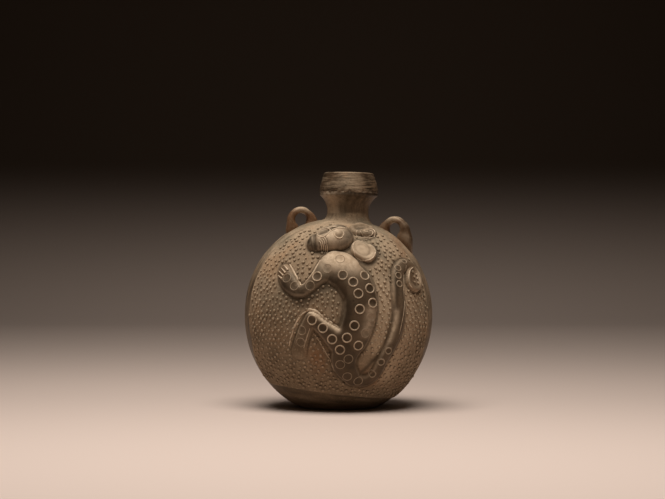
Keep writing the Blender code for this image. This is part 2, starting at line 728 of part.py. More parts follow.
def mesh_object(name, points, faces):
    """Object of points in millimetres, closed and facing out."""
    mesh = bpy.data.meshes.new(name)
    mesh.from_pydata([tuple(np.asarray(p) * MM) for p in points], [], faces)
    tidy = bmesh.new()
    tidy.from_mesh(mesh)
    bmesh.ops.remove_doubles(tidy, verts=tidy.verts, dist=MERGE * MM)
    bmesh.ops.triangulate(tidy, faces=tidy.faces)
    bmesh.ops.recalc_face_normals(tidy, faces=tidy.faces)
    if tidy.calc_volume(signed=True) < 0.0:
        bmesh.ops.reverse_faces(tidy, faces=tidy.faces)
    tidy.to_mesh(mesh)
    tidy.free()
    item = bpy.data.objects.new(name, mesh)
    bpy.context.scene.collection.objects.link(item)
    return item


def clay_material():
    """Smoke-blackened burnished clay."""
    material = bpy.data.materials.new("blackware")
    material.use_nodes = True
    shader = material.node_tree.nodes["Principled BSDF"]
    shader.inputs["Base Color"].default_value = (0.085, 0.062, 0.045, 1.0)
    shader.inputs["Roughness"].default_value = 0.5
    shader.inputs["Metallic"].default_value = 0.0
    return material


def join_lugs(jar):
    """Weld the lugs to the jar and clean the seams.

    The EXACT solver leaves edges shared by four faces here when the widest height
    is changed, so the union uses the MANIFOLD one.
    """
    for number, lug in enumerate(LUGS):
        strap = mesh_object(f"lug_{number}", *lug_mesh(lug))
        weld = jar.modifiers.new(f"lug_{number}", "BOOLEAN")
        weld.operation = "UNION"
        weld.solver = "MANIFOLD"
        weld.object = strap
        bpy.context.view_layer.update()
        welded = bpy.data.meshes.new_from_object(
            jar.evaluated_get(bpy.context.evaluated_depsgraph_get()))
        jar.modifiers.clear()
        jar.data = welded
        bpy.data.objects.remove(strap)
    tidy = bmesh.new()
    tidy.from_mesh(jar.data)
    bmesh.ops.triangulate(tidy, faces=tidy.faces)
    bmesh.ops.dissolve_degenerate(tidy, edges=tidy.edges, dist=WELD * MM)
    bmesh.ops.triangulate(tidy, faces=tidy.faces)
    tidy.to_mesh(jar.data)
    tidy.free()


def build():
    """Make the jar in an empty scene."""
    for item in list(bpy.data.objects):
        bpy.data.objects.remove(item)
    jar = mesh_object("jar", *jar_shell())
    join_lugs(jar)
    jar.data.name = "jar"
    jar.data.materials.clear()
    jar.data.materials.append(clay_material())
    jar.data.shade_smooth()
    jar.data.set_sharp_from_angle(angle=SHARP_ANGLE)


build()
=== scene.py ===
import json
import math

import bmesh
import bpy
import numpy as np
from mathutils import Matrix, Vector, noise

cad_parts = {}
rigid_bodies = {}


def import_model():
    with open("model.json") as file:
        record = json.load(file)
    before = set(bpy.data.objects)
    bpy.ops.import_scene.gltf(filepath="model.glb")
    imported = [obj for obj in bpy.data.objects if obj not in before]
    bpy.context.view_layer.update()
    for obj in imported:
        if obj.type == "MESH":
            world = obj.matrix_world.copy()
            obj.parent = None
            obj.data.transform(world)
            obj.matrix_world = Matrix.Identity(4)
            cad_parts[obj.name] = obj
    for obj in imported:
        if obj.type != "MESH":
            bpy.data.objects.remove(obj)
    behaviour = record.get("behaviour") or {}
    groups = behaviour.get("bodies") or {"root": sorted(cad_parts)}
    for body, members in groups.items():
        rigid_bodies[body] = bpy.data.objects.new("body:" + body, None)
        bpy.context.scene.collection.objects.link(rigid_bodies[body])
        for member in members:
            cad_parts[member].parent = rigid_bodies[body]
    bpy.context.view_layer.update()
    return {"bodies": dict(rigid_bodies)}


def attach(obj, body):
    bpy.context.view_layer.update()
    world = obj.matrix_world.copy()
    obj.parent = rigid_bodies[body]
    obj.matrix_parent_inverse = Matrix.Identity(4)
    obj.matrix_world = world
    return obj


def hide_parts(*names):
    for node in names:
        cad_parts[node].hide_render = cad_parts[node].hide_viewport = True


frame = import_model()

# Sizes are in millimetres, in the part's own frame, and become metres where a mesh is made
mm = 0.001
rootBody = next(iter(frame["bodies"]))

body = {
    "halfWidth": 80.0, "halfDepth": 67.0,
    "widest": 78.0, "crown": 161.0, "fullness": 2.1,
    "footHalfWidth": 33.0, "footHalfDepth": 30.0,
    "wall": 6.0,
    "neckOffset": 8.0, "neckRoot": 23.5,
    "slideStart": math.radians(50.0),
    "frontArc": math.radians(82.0),
    "handMade": 0.3, "handMadeSize": 46.0,  # how far the wall wanders, and over what length
    "calmRoot": 0.2, "calmFoot": (2.0, 8.0),  # and where it comes to rest, at the neck and the foot
}
footAngle = math.acos(body["footHalfWidth"] / body["halfWidth"])
rootAngle = math.acos((body["neckRoot"] / body["halfWidth"]) ** (body["fullness"] / 2))
crownRise = body["crown"] - body["widest"]


def ease(share):
    share = np.clip(share, 0.0, 1.0)
    return share * share * (3.0 - 2.0 * share)


def bell(distance, width):
    return np.exp(-(distance / width) ** 2)


def above(value, start, length):
    # 0 up to the start, and 1 from a length past it
    return ease((value - start) / length)


def below(value, end, length):
    # 0 from the end on, and 1 up to a length before it
    return ease((end - value) / length)


def planHalves(height):
    rise = np.clip((height - body["widest"]) / crownRise, 0.0, 1.0)
    upper = (1.0 - rise ** body["fullness"]) ** (1.0 / body["fullness"])
    fall = np.clip((body["widest"] - height) / body["widest"], 0.0, 1.0)
    widthShare = body["footHalfWidth"] / body["halfWidth"]
    depthShare = body["footHalfDepth"] / body["halfDepth"]
    lowerWidth = np.sqrt(1.0 - (1.0 - widthShare ** 2) * fall ** 2)
    lowerDepth = np.sqrt(1.0 - (1.0 - depthShare ** 2) * fall ** 2)
    return body["halfWidth"] * upper * lowerWidth, body["halfDepth"] * upper * lowerDepth


def crownHeightAt(x, y):
    reach = np.clip(np.hypot(x / body["halfWidth"], y / body["halfDepth"]), 0.0, 1.0)
    return body["widest"] + crownRise * (1.0 - reach ** body["fullness"]) ** (1.0 / body["fullness"])


def bodyPoint(turn, climb):
    # turn runs round the jar from the front, climb up it from the widest level
    turn, climb = np.broadcast_arrays(np.asarray(turn, float), np.asarray(climb, float))
    fall = np.sin(np.clip(-climb, 0.0, None)) / math.sin(footAngle)
    halfWidth, halfDepth = planHalves(body["widest"] * (1.0 - fall))
    upper = np.cos(np.clip(climb, 0.0, None)) ** (2.0 / body["fullness"])
    slide = ease((climb - body["slideStart"]) / (rootAngle - body["slideStart"]))
    halfDepth = (halfDepth + (halfWidth - halfDepth) * slide) * upper
    halfWidth = halfWidth * upper
    x = body["neckOffset"] * slide + halfWidth * np.sin(turn)
    y = -halfDepth * np.cos(turn)
    z = np.where(climb > 0.0, crownHeightAt(x, y), body["widest"] * (1.0 - fall))
    return np.stack((x, y, z), axis=-1)


def bodySteps(turn, climb, step):
    # how the body runs on over a small step, round it and up it
    across = bodyPoint(turn + step, climb) - bodyPoint(turn - step, climb)
    along = bodyPoint(turn, climb + step) - bodyPoint(turn, climb - step)
    return across, along


def bodyNormal(turn, climb):
    normal = np.cross(*bodySteps(turn, climb, 1e-4))
    return normal / np.linalg.norm(normal, axis=-1, keepdims=True)


def stretchAt(turn, climb, step=1e-3):
    # millimetres a radian, round the jar and up it
    return [np.linalg.norm(run) / (2 * step) for run in bodySteps(turn, climb, step)]


def onFront(across, up):
    # across is a share of the half width, up of the way to the crown or foot, in hundredths
    reach = crownRise if up > 0 else body["widest"]
    height = body["widest"] + reach * up / 100.0
    halfWidth, halfDepth = planHalves(height)
    x = body["halfWidth"] * across / 100.0
    return np.array((x, -halfDepth * math.sqrt(max(0.0, 1.0 - (x / halfWidth) ** 2)), height))


def unroll(points):
    x, y, z = np.atleast_2d(points).T
    fall = np.clip((body["widest"] - z) / body["widest"], 0.0, 1.0)
    rise = np.clip((z - body["widest"]) / crownRise, 0.0, 1.0)
    climb = np.where(z < body["widest"], -np.arcsin(fall * math.sin(footAngle)),
                     np.arcsin(rise ** (body["fullness"] / 2.0)))
    halfWidth, halfDepth = planHalves(z)
    return np.arctan2(x / halfWidth, -y / halfDepth), climb


def smoothPath(stations, steps=5):
    rows = np.array(stations, float)
    rows = np.vstack((2 * rows[0] - rows[1], rows, 2 * rows[-1] - rows[-2]))
    points = []
    for before, start, end, after in zip(rows, rows[1:], rows[2:], rows[3:]):
        for t in np.arange(steps) / steps:
            pull = end - before + (2 * before - 5 * start + 4 * end - after) * t
            bend = (3 * start - 3 * end + after - before) * t * t
            points.append(start + 0.5 * t * (pull + bend))
    points.append(rows[-2])
    return np.array(points)


# The feline: each limb is a stroke of (across, up, half width), with its height and how
# dark it is burnished at both ends
limbs = {
    "torso": {"heights": (4.5, 3.5), "burnish": (0.75, 1.0), "stations": (
        (-5.6, 51.0, 13.6), (8.0, 45.6, 13.8), (18.0, 34.7, 15.2), (22.0, 19.8, 16.8),
        (21.0, 1.2, 16.6), (14.8, -17.7, 16.0), (6.6, -34.1, 13.6), (5.6, -48.7, 11.6),
        (14.1, -62.7, 8.1))},
    # the chest's light burnish is partly a painted highlight
    "chest": {"heights": (4.2, 4.2), "burnish": (0.35, 0.35), "stations": (
        (-4.0, 55.5, 12.0), (4.0, 53.5, 12.5), (10.0, 50.0, 11.5))},
    "foreleg": {"heights": (4.0, 3.6), "burnish": (0.7, 0.8), "stations": (
        (-7.6, 52.5, 12.4), (-14.4, 45.6, 9.8), (-21.0, 39.4, 7.4), (-26.5, 34.4, 6.1),
        (-32.0, 29.6, 5.6), (-37.0, 26.8, 5.6))},
    "paw": {"heights": (3.6, 2.6), "burnish": (0.8, 0.7), "stations": (
        (-37.5, 26.8, 5.6), (-44.0, 28.8, 7.0), (-51.4, 36.6, 8.8), (-55.8, 46.2, 7.2))},
    "thigh": {"heights": (3.6, 4.2), "burnish": (0.9, 1.0), "stations": (
        (-26.0, -0.4, 7.2), (-15.9, -8.7, 7.6), (-4.6, -18.8, 10.4), (5.0, -29.0, 12.4))},
    "web": {"heights": (3.2, 3.2), "burnish": (1.0, 1.0), "stations": (
        (-2.0, 42.0, 11.0), (6.5, 37.0, 11.5), (12.0, 27.5, 11.0))},
    "shin": {"heights": (3.4, 0.4), "burnish": (0.85, 0.1), "stations": (
        (-27.1, 1.1, 6.6), (-34.3, -13.2, 6.6), (-38.0, -24.0, 7.2), (-40.5, -35.0, 7.8))},
    "tail": {"heights": (3.2, 3.0), "burnish": (0.85, 0.65), "stations": (
        (15.1, -63.7, 7.1), (27.0, -65.1, 6.1), (37.0, -57.9, 5.6), (43.9, -44.4, 5.6),
        (50.8, -32.1, 5.8), (58.3, -14.9, 6.2), (61.3, 3.4, 6.4), (60.3, 20.6, 6.4),
        (59.5, 36.7, 6.4), (60.8, 46.8, 6.2), (67.0, 52.2, 5.8), (74.0, 50.6, 5.4))},
    "head": {"heights": (7.5, 9.5), "burnish": (0.85, 0.6), "fullness": 2.0, "stations": (
        (-22.0, 73.6, 10.4), (-12.5, 77.0, 13.8), (-1.6, 78.8, 16.6))},
}
ears = {
    "upper": {"heights": (3.0, 2.4), "burnish": (0.3, 0.3), "rim": 2.6, "dish": 1.2, "stations": (
        (20.5, 86.5, 9.2), (27.0, 87.0, 10.4), (34.0, 84.8, 5.6))},
    "lower": {"heights": (3.0, 3.0), "burnish": (0.1, 0.1), "rim": 2.6, "dish": 0.8, "stations": (
        (21.8, 67.4, 10.0), (28.2, 64.0, 10.4))},
    "curl": {"heights": (3.0, 3.0), "burnish": (0.45, 0.45), "rim": 2.4, "dish": 0.9, "stations": (
        (76.8, 40.0, 11.4), (76.8, 36.0, 11.4))},
}
panel = {
    "relief": 0.8, "step": 1.6, "setback": 24.0, "tuck": 0.34, "tuckBelow": 58.0,
    "foot": 14.2, "footSlope": -0.12, "neckMargin": 1.5, "corner": 9.0,
    "ridge": 0.45, "ridgeIn": 1.2, "ridgeWidth": 1.1,  # low ridge along the panel's border
}
spots = {
    "crest": 3.5, "dish": 2.6, "depth": 0.45, "tailShare": 0.72, "tone": 0.5, "wornTone": 0.12,
    "body": ((3.9, 41.4), (13.9, 34.9), (18.9, 24.1), (20.3, 9.6), (25.4, 41.2), (30.3, 28.9),
             (33.1, 15.3), (-21.1, 40.1), (15.1, -6.3), (7.9, -18.5), (19.0, -26.5),
             (-6.5, -19.9), (-15.5, -8.7), (-26.1, -0.9), (1.1, -30.5)),
    "worn": ((1.4, 56.3), (25.9, -13.8), (31.3, 1.6), (-36.6, -11.6), (-38.0, -24.0), (-11.0, 47.4),
             (-28.0, 31.6), (-43.4, 31.4), (-51.3, 38.7), (9.4, -40.1), (1.4, -45.9), (8.3, -58.3),
             (19.0, -63.5)),
    "tail": ((33.3, -56.7), (41.8, -44.2), (49.0, -32.7), (64.9, 54.7),
             (58.8, 48.0), (59.0, 40.8), (59.9, 32.9)),
}
# Carving of the head and other fine cuts, drawn on the front in the same hundredths
carving = {
    "cutTone": 0.9,  # depth at which a cut is painted black, as shade in it
    "grooves": {
        "mouth": {"width": 1.7, "depth": 1.9, "path": (
            (-21.8, 84.0), (-22.8, 77.5), (-23.2, 70.0), (-22.8, 63.0))},
        "nostril": {"width": 1.0, "depth": 1.0, "path": ((-29.6, 76.0), (-28.8, 71.0))},
        "nose": {"width": 0.5, "depth": 0.8, "path": ((-26.2, 81.0), (-26.8, 73.5), (-26.0, 66.0))},
        "leaf": {"width": 2.4, "depth": 1.5, "path": ((-17.4, 77.2), (-11.4, 78.8))},
        "brow": {"width": 1.3, "depth": 1.6, "path": (
            (-9.2, 79.8), (-4.6, 81.8), (0.4, 83.0), (6.6, 83.8))},
        "browPit": {"width": 1.2, "depth": 1.3, "path": ((-5.4, 85.8), (-2.0, 86.8), (1.4, 86.8))},
        "lid": {"width": 0.6, "depth": 0.4, "path": (
            (-3.0, 75.0), (-1.2, 73.8), (0.6, 73.5), (2.4, 74.1), (3.4, 75.8))},
        "earOval": {"width": 0.8, "depth": 0.35, "path": (
            (30.7, 62.2), (30.5, 66.8), (26.2, 71.2), (20.3, 72.8), (16.3, 70.8), (16.5, 66.2),
            (20.8, 61.8), (26.7, 60.2), (30.7, 62.2))},
        "elbow": {"width": 0.7, "depth": 0.6, "path": ((-40.6, 26.6), (-37.6, 24.6), (-34.0, 24.8))},
    },
}
# Painted shade with soot, under and beside the limbs, the head and the ears, and places that hands
# have rubbed pale, some of them painted highlights: path, reach in millimetres and strength
sootAndShadePaths = (
    (((-54.0, 31.0), (-46.0, 20.0), (-38.1, 17.5), (-29.7, 19.5), (-22.0, 26.0), (-12.0, 32.0),
      (-2.1, 30.0), (4.5, 21.0), (8.5, 8.0), (4.0, -6.0)), 4.6, 0.9),
    (((-27.0, -15.0), (-19.0, -25.0), (-11.0, -38.0), (-4.0, -54.0)), 4.0, 0.5),
    (((57.6, 55.0), (56.8, 37.5), (57.4, 23.4), (54.2, 0.5), (44.6, -30.6), (30.1, -49.1),
      (23.5, -55.6)), 2.0, 0.95),
    (((13.5, 61.5), (19.5, 57.0), (27.0, 53.0), (34.5, 54.0), (39.5, 59.5), (39.5, 67.0), (34.0, 73.0)),
     1.7, 0.95),
    (((-31.0, 74.0), (-26.0, 66.5), (-14.0, 65.0), (-2.0, 65.5), (8.0, 69.0), (13.0, 75.0)), 3.2, 0.85),
    (((10.0, 80.0), (16.0, 77.5), (28.0, 77.0), (37.0, 79.5)), 1.4, 0.8),
    (((19.5, 86.5), (26.0, 87.0), (31.5, 83.8)), 1.8, 0.7),
    (((-19.0, 69.0), (-13.0, 66.0)), 4.2, 0.6),
    (((8.0, 76.0), (9.5, 70.0), (4.0, 66.0)), 4.5, 0.6),
    (((-70.4, 64.6), (-52.4, 80.4), (-37.6, 87.6)), 1.4, 0.75),
    (((-74.0, 70.0), (-60.0, 80.0)), 4.0, 0.45),
)
wornAndHighlightPaths = (
    # the chest, the head's top, the thigh's ridge and the tail's curl are painted highlights, the rest is
    # wear
    (((-8.6, 57.0), (2.0, 55.5), (12.0, 53.5)), 8.5, 1.0),
    (((-15.0, 75.0), (-5.0, 78.0)), 7.5, 1.0),
    (((-29.0, 8.0), (-22.4, 5.8), (-11.6, -2.3), (-1.0, -10.2)), 2.4, 0.95),
    (((31.5, 8.0), (30.5, -2.0), (27.0, -13.0)), 4.2, 0.55),
    (((57.2, 6.3), (56.5, -3.0), (53.7, -12.6), (50.7, -21.8)), 2.2, 0.5),
    (((79.6, 42.0), (80.6, 35.0)), 3.4, 0.7),
    (((18.0, 71.0), (28.0, 66.0), (31.0, 62.0)), 8.0, 0.6),
)
# Where the crust lies thicker and paler, or thinner and browner: path, reach and share
crustPaths = (
    (((43.0, 30.0), (46.0, 4.0), (38.0, -26.0)), 11.0, 1.0),
    (((72.0, 20.0), (68.0, -15.0), (50.0, -55.0)), 11.0, 0.8),
    (((-66.0, 0.0), (-60.0, -35.0), (-48.0, -58.0)), 13.0, -0.25),
    (((-20.0, -58.0), (2.0, -76.0), (22.0, -80.0)), 12.0, -0.45),
    (((-24.0, 8.0), (-10.0, 16.0), (0.0, 2.0)), 8.0, -0.35),
)
redPaths = (
    (((-23.0, -38.0), (-17.0, -52.0)), 8.0, 0.8), (((74.0, 20.0), (70.0, -20.0), (52.0, -52.0)), 9.0, 0.5),
    (((60.0, 80.0), (68.0, 60.0), (76.0, 40.0)), 7.0, 0.5), (((30.0, -68.0), (40.0, -62.0)), 6.0, 0.5),
)
eye = {"at": (0.2, 76.3), "radius": 3.0, "crest": 1.6, "relief": 1.1, "shoulder": 0.85}
whiskers = {
    "at": (-20.6, 68.0), "radii": (2.2, 3.7, 5.2, 6.7, 8.2), "from": -36.0, "to": 58.0,
    "cut": 0.45, "width": 0.5,
}


def besideSegment(points, start, end):
    # how far along a straight piece each point lies, from 0 to 1, and how far from it
    run = end - start
    share = np.clip((points - start) @ run / (run @ run), 0.0, 1.0)
    return share, np.linalg.norm(points - start - share[:, None] * run, axis=1)


def strokeFields(limb, points):
    path = smoothPath(limb["stations"])
    spine = np.array([onFront(across, up) for across, up, _ in path])
    halves = path[:, 2] * body["halfWidth"] / 100.0
    edge = np.full(len(points), 1e6)
    half = np.ones(len(points))
    along = np.zeros(len(points))
    for k in range(len(spine) - 1):
        share, distance = besideSegment(points, spine[k], spine[k + 1])
        halfHere = halves[k] + share * (halves[k + 1] - halves[k])
        gap = distance - halfHere
        nearer = gap < edge
        edge = np.where(nearer, gap, edge)
        half = np.where(nearer, halfHere, half)
        along = np.where(nearer, (k + share) / (len(spine) - 1), along)
    start, end = limb["heights"]
    return edge, half, start + (end - start) * along, along


def pathDistance(path, points):
    spine = np.array([onFront(*place) for place in smoothPath(path)])
    nearest = np.full(len(points), 1e6)
    for start, end in zip(spine, spine[1:]):
        nearest = np.minimum(nearest, besideSegment(points, start, end)[1])
    return nearest


def pillow(edge, half, fullness):
    inside = np.clip(-edge / half, 0.0, 1.0)
    return (1.0 - (1.0 - inside) ** fullness) ** (1.0 / fullness)


def panelInset(points):
    x, y, z = points.T
    setback = panel["setback"] - panel["tuck"] * np.clip(panel["tuckBelow"] - z, 0.0, None)
    foot = panel["foot"] + panel["footSlope"] * x
    neck = np.hypot(x - body["neckOffset"], y) - body["neckRoot"] - panel["neckMargin"]
    side, low, corner = -y - setback, z - foot, panel["corner"]
    near = np.clip(corner - np.abs(side - low), 0.0, None)
    rounded = np.minimum(side, low) - near ** 2 / (4.0 * corner)
    return np.minimum(rounded, neck)


def spotPlaces():
    # place, size share and how dark the dish's middle is painted, as shade
    full = [(place, 1.0, spots["tone"]) for place in spots["body"]]
    full += [(place, 1.0, spots["wornTone"]) for place in spots["worn"]]
    return full + [(place, spots["tailShare"], spots["tone"]) for place in spots["tail"]]


def whiskerField(points):
    # cuts in rings round the corner of the mouth, kept to the right of it
    centre = onFront(*whiskers["at"])
    offset = points - centre
    radius = np.linalg.norm(offset, axis=1)
    angle = np.degrees(np.arctan2(offset[:, 2], offset[:, 0]))
    inside = (angle > whiskers["from"]) & (angle < whiskers["to"])
    cut = np.max([bell(radius - r, whiskers["width"]) for r in whiskers["radii"]], axis=0)
    return cut * inside


modelling = {
    "fullness": 2.5,  # how square the rounded section of a limb is
    "blend": 0.5, "softEdge": 0.8, "dishEdge": 0.5,
    "groove": 0.4, "grooveOut": 0.9, "grooveWidth": 0.8,  # pressed into the ground round the figure
}


def figureFields(points):
    # height and burnish of limbs and ears, and how far outside them each point lies
    figure, burnish = np.zeros(len(points)), np.zeros(len(points))
    outline = np.full(len(points), 1e6)
    for limb in (*limbs.values(), *ears.values()):
        edge, half, rise, along = strokeFields(limb, points)
        outline = np.minimum(outline, edge)
        if "rim" in limb:
            rise = rise * pillow(edge, limb["rim"], modelling["fullness"])
            rise = rise - limb["dish"] * ease((-edge - limb["rim"]) / limb["rim"])
        else:
            rise = rise * pillow(edge, half, limb.get("fullness", modelling["fullness"]))
        start, end = limb["burnish"]
        share = ease((rise - figure) / modelling["blend"] + 0.5) * (edge < 0.0)
        burnish += (np.clip(start + (end - start) * along, 0.0, 1.0) - burnish) * share
        figure = np.maximum(figure, rise)
    return figure, burnish, outline


def reliefAt(points):
    # height over the plain body, with the masks that the finish uses
    inset = panelInset(points)
    onPanel = ease(inset / panel["step"])
    figure, burnish, outline = figureFields(points)
    onFigure = ease(-outline / modelling["softEdge"])
    cuts = np.zeros(len(points))
    for place, size, tone in spotPlaces():
        radius = np.linalg.norm(points - onFront(*place), axis=1) / size
        dish = (1.0 - ease(radius - spots["dish"] + modelling["dishEdge"])) * onFigure
        figure -= size * spots["depth"] * dish
        cuts = np.maximum(cuts, tone * dish)
    for groove in carving["grooves"].values():
        shape = bell(pathDistance(groove["path"], points), groove["width"]) * onFigure
        figure -= groove["depth"] * shape
        cuts = np.maximum(cuts, shape * min(1.0, groove["depth"] / carving["cutTone"]))
    radius = np.linalg.norm(points - onFront(*eye["at"]), axis=1)
    dome = np.interp(radius, (0.0, eye["crest"], eye["radius"]), (1.0, eye["shoulder"], 0.0))
    figure += eye["relief"] * dome
    whisker = whiskerField(points) * onFigure
    figure -= whiskers["cut"] * whisker
    height = panel["relief"] * onPanel
    height += panel["ridge"] * bell(inset - panel["ridgeIn"], panel["ridgeWidth"])
    height += figure
    groove = modelling["groove"] * bell(outline - modelling["grooveOut"], modelling["grooveWidth"])
    height -= groove * (outline > 0.0) * onPanel
    return {"height": height, "outline": outline, "inset": inset,
            "cuts": np.maximum(cuts, whisker), "burnish": burnish}


def washOf(paths, points):
    # soft washes of one tone along paths on the front
    wash = np.zeros(len(points))
    for path, reach, strength in paths:
        wash += strength * bell(pathDistance(path, points), reach)
    return np.clip(wash, -1.0, 1.0)


def wander(points, size, seed):
    # slow unevenness of hand-pressed clay, from -1 to 1
    shift = Vector((seed * 7.3, seed * 3.1, seed * 5.7))
    return np.array([noise.noise(Vector(p) / size + shift) for p in points])


def plainPoint(turn, climb):
    base = bodyPoint(turn, climb)
    calm = below(np.broadcast_to(climb, base.shape[:-1]), rootAngle, body["calmRoot"])
    calm = calm * above(base[..., 2], *body["calmFoot"])
    flat = base.reshape(-1, 3)
    push = (wander(flat, body["handMadeSize"], 1) * body["handMade"]).reshape(base.shape[:-1])
    return base + bodyNormal(turn, climb) * (push * calm)[..., None]


def surfacePoint(turn, climb, lift=0.0):
    base = bodyPoint(turn, climb)
    return plainPoint(turn, climb) + bodyNormal(turn, climb) * (reliefAt(base)["height"] + lift)[:, None]


def addObject(name, data):
    item = bpy.data.objects.new(name, data)
    bpy.context.scene.collection.objects.link(item)
    return item


def storeMask(mesh, mask, values):
    values = np.broadcast_to(values, len(mesh.vertices)).astype(np.float32)
    mesh.attributes.new(mask, "FLOAT", "POINT").data.foreach_set("value", values)


def meshOf(name, points, faces, material, masks):
    mesh = bpy.data.meshes.new(name)
    mesh.from_pydata((np.asarray(points) * mm).tolist(), [], faces)
    for mask, values in masks.items():
        storeMask(mesh, mask, values)
    mesh.materials.append(material)
    mesh.shade_smooth()
    return addObject(name, mesh)


def finishPiece(item):
    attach(item, rootBody)


# Shader sums are written as plain Python on wires
class Wire:
    def __init__(self, tree, socket=None):
        self.tree = tree
        self.socket = socket

    def node(self, kind, settings, inputs, output=0):
        made = self.tree.nodes.new(kind)
        for key, value in settings.items():
            setattr(made, key, value)
        for key, value in inputs.items():
            if isinstance(value, Wire):
                self.tree.links.new(value.socket, made.inputs[key])
            else:
                made.inputs[key].default_value = value
        return Wire(self.tree, made.outputs[output])

    def maths(self, operation, first, second):
        return self.node("ShaderNodeMath", {"operation": operation}, {0: first, 1: second})

    def __add__(self, other):
        return self.maths("ADD", self, other)

    def __radd__(self, other):
        return self.maths("ADD", other, self)

    def __sub__(self, other):
        return self.maths("SUBTRACT", self, other)

    def __rsub__(self, other):
        return self.maths("SUBTRACT", other, self)

    def __mul__(self, other):
        return self.maths("MULTIPLY", self, other)

    def __rmul__(self, other):
        return self.maths("MULTIPLY", other, self)

    def clamped(self):
        return self.node("ShaderNodeClamp", {}, {0: self, 1: 0.0, 2: 1.0})

    def span(self, low, high):
        # 0 below low and 1 above high, with a soft step between
        return self.node("ShaderNodeMapRange", {"interpolation_type": "SMOOTHSTEP"},
                         {0: self, 1: low, 2: high, 3: 0.0, 4: 1.0})

    def mixed(self, first, second):
        # colour: first where this wire is 0, second where it is 1
        return self.node("ShaderNodeMix", {"data_type": "RGBA"}, {0: self, 6: first, 7: second}, 2)


clay = {
    "crust": (0.290, 0.206, 0.130, 1.0),
    "crustPale": (0.430, 0.318, 0.210, 1.0),
    "crustBrown": (0.148, 0.103, 0.063, 1.0),
    "crustOlive": (0.215, 0.178, 0.122, 1.0),
    "crustOrange": (0.360, 0.215, 0.115, 1.0),
    "burnished": (0.058, 0.036, 0.021, 1.0),
    "sootAndShade": (0.022, 0.014, 0.008, 1.0),
    "red": (0.235, 0.112, 0.052, 1.0),
    "worn": (0.560, 0.430, 0.300, 1.0),
    "gloss": (1.0, 0.78, 0.54, 1.0),
    "pelletTopHighlight": (0.480, 0.360, 0.240, 1.0),
    # clouds of noise: scale, detail and roughness
    "patches": (24.0, 4.0, 0.55), "smudges": (74.4, 5.0, 0.62), "hues": (38.0, 3.0, 0.6),
    "flecks": (320.0, 3.0, 0.65), "specks": (640.0, 2.0, 0.7), "grain": (1100.0, 2.0, 0.55),
    "bandStreaks": (430.0, 3.0, 0.6), "collarStreaks": (700.0, 3.0, 0.6), "throatStreaks": (300.0, 3.0, 0.6),
    "streakPull": 0.11, "streakDepth": 1.9,  # how drawn out the smoothing streaks are, and how strong
    # where in a cloud a tone starts and where it is full
    "crustUp": (0.012, 0.150),  # in metres: darker and browner towards the foot
    "paleFrom": (0.35, 0.70), "sootFrom": (0.40, 0.68), "redLow": (0.56, 0.72), "redHere": (0.3, 0.6),
    # the same, and the tone's share
    "olive": (0.50, 0.64, 0.7), "orange": (0.47, 0.35, 0.55), "lowBrown": (0.42, 0.66, 0.35),
    "brownSpecks": (0.52, 0.70, 0.55), "paleSpecks": (0.46, 0.32, 0.40), "bareFlecks": (0.60, 0.78, 0.35),
    "wornFlecks": (0.32, 0.62, 0.75), "topSpecks": (0.35, 0.65, 0.4),
    "lowShare": 0.75, "redShare": 0.35, "wornShare": 0.45, "topShare": 0.22, "recessShare": 0.55,
    "darkGloss": 0.27, "crustDull": 0.42, "fleckDull": 0.16, "wornGloss": 0.32, "specular": 0.42,
    "bump": 0.5, "bumpDepth": 0.25, "grainBump": 0.6, "smudgeBump": 0.7,
}


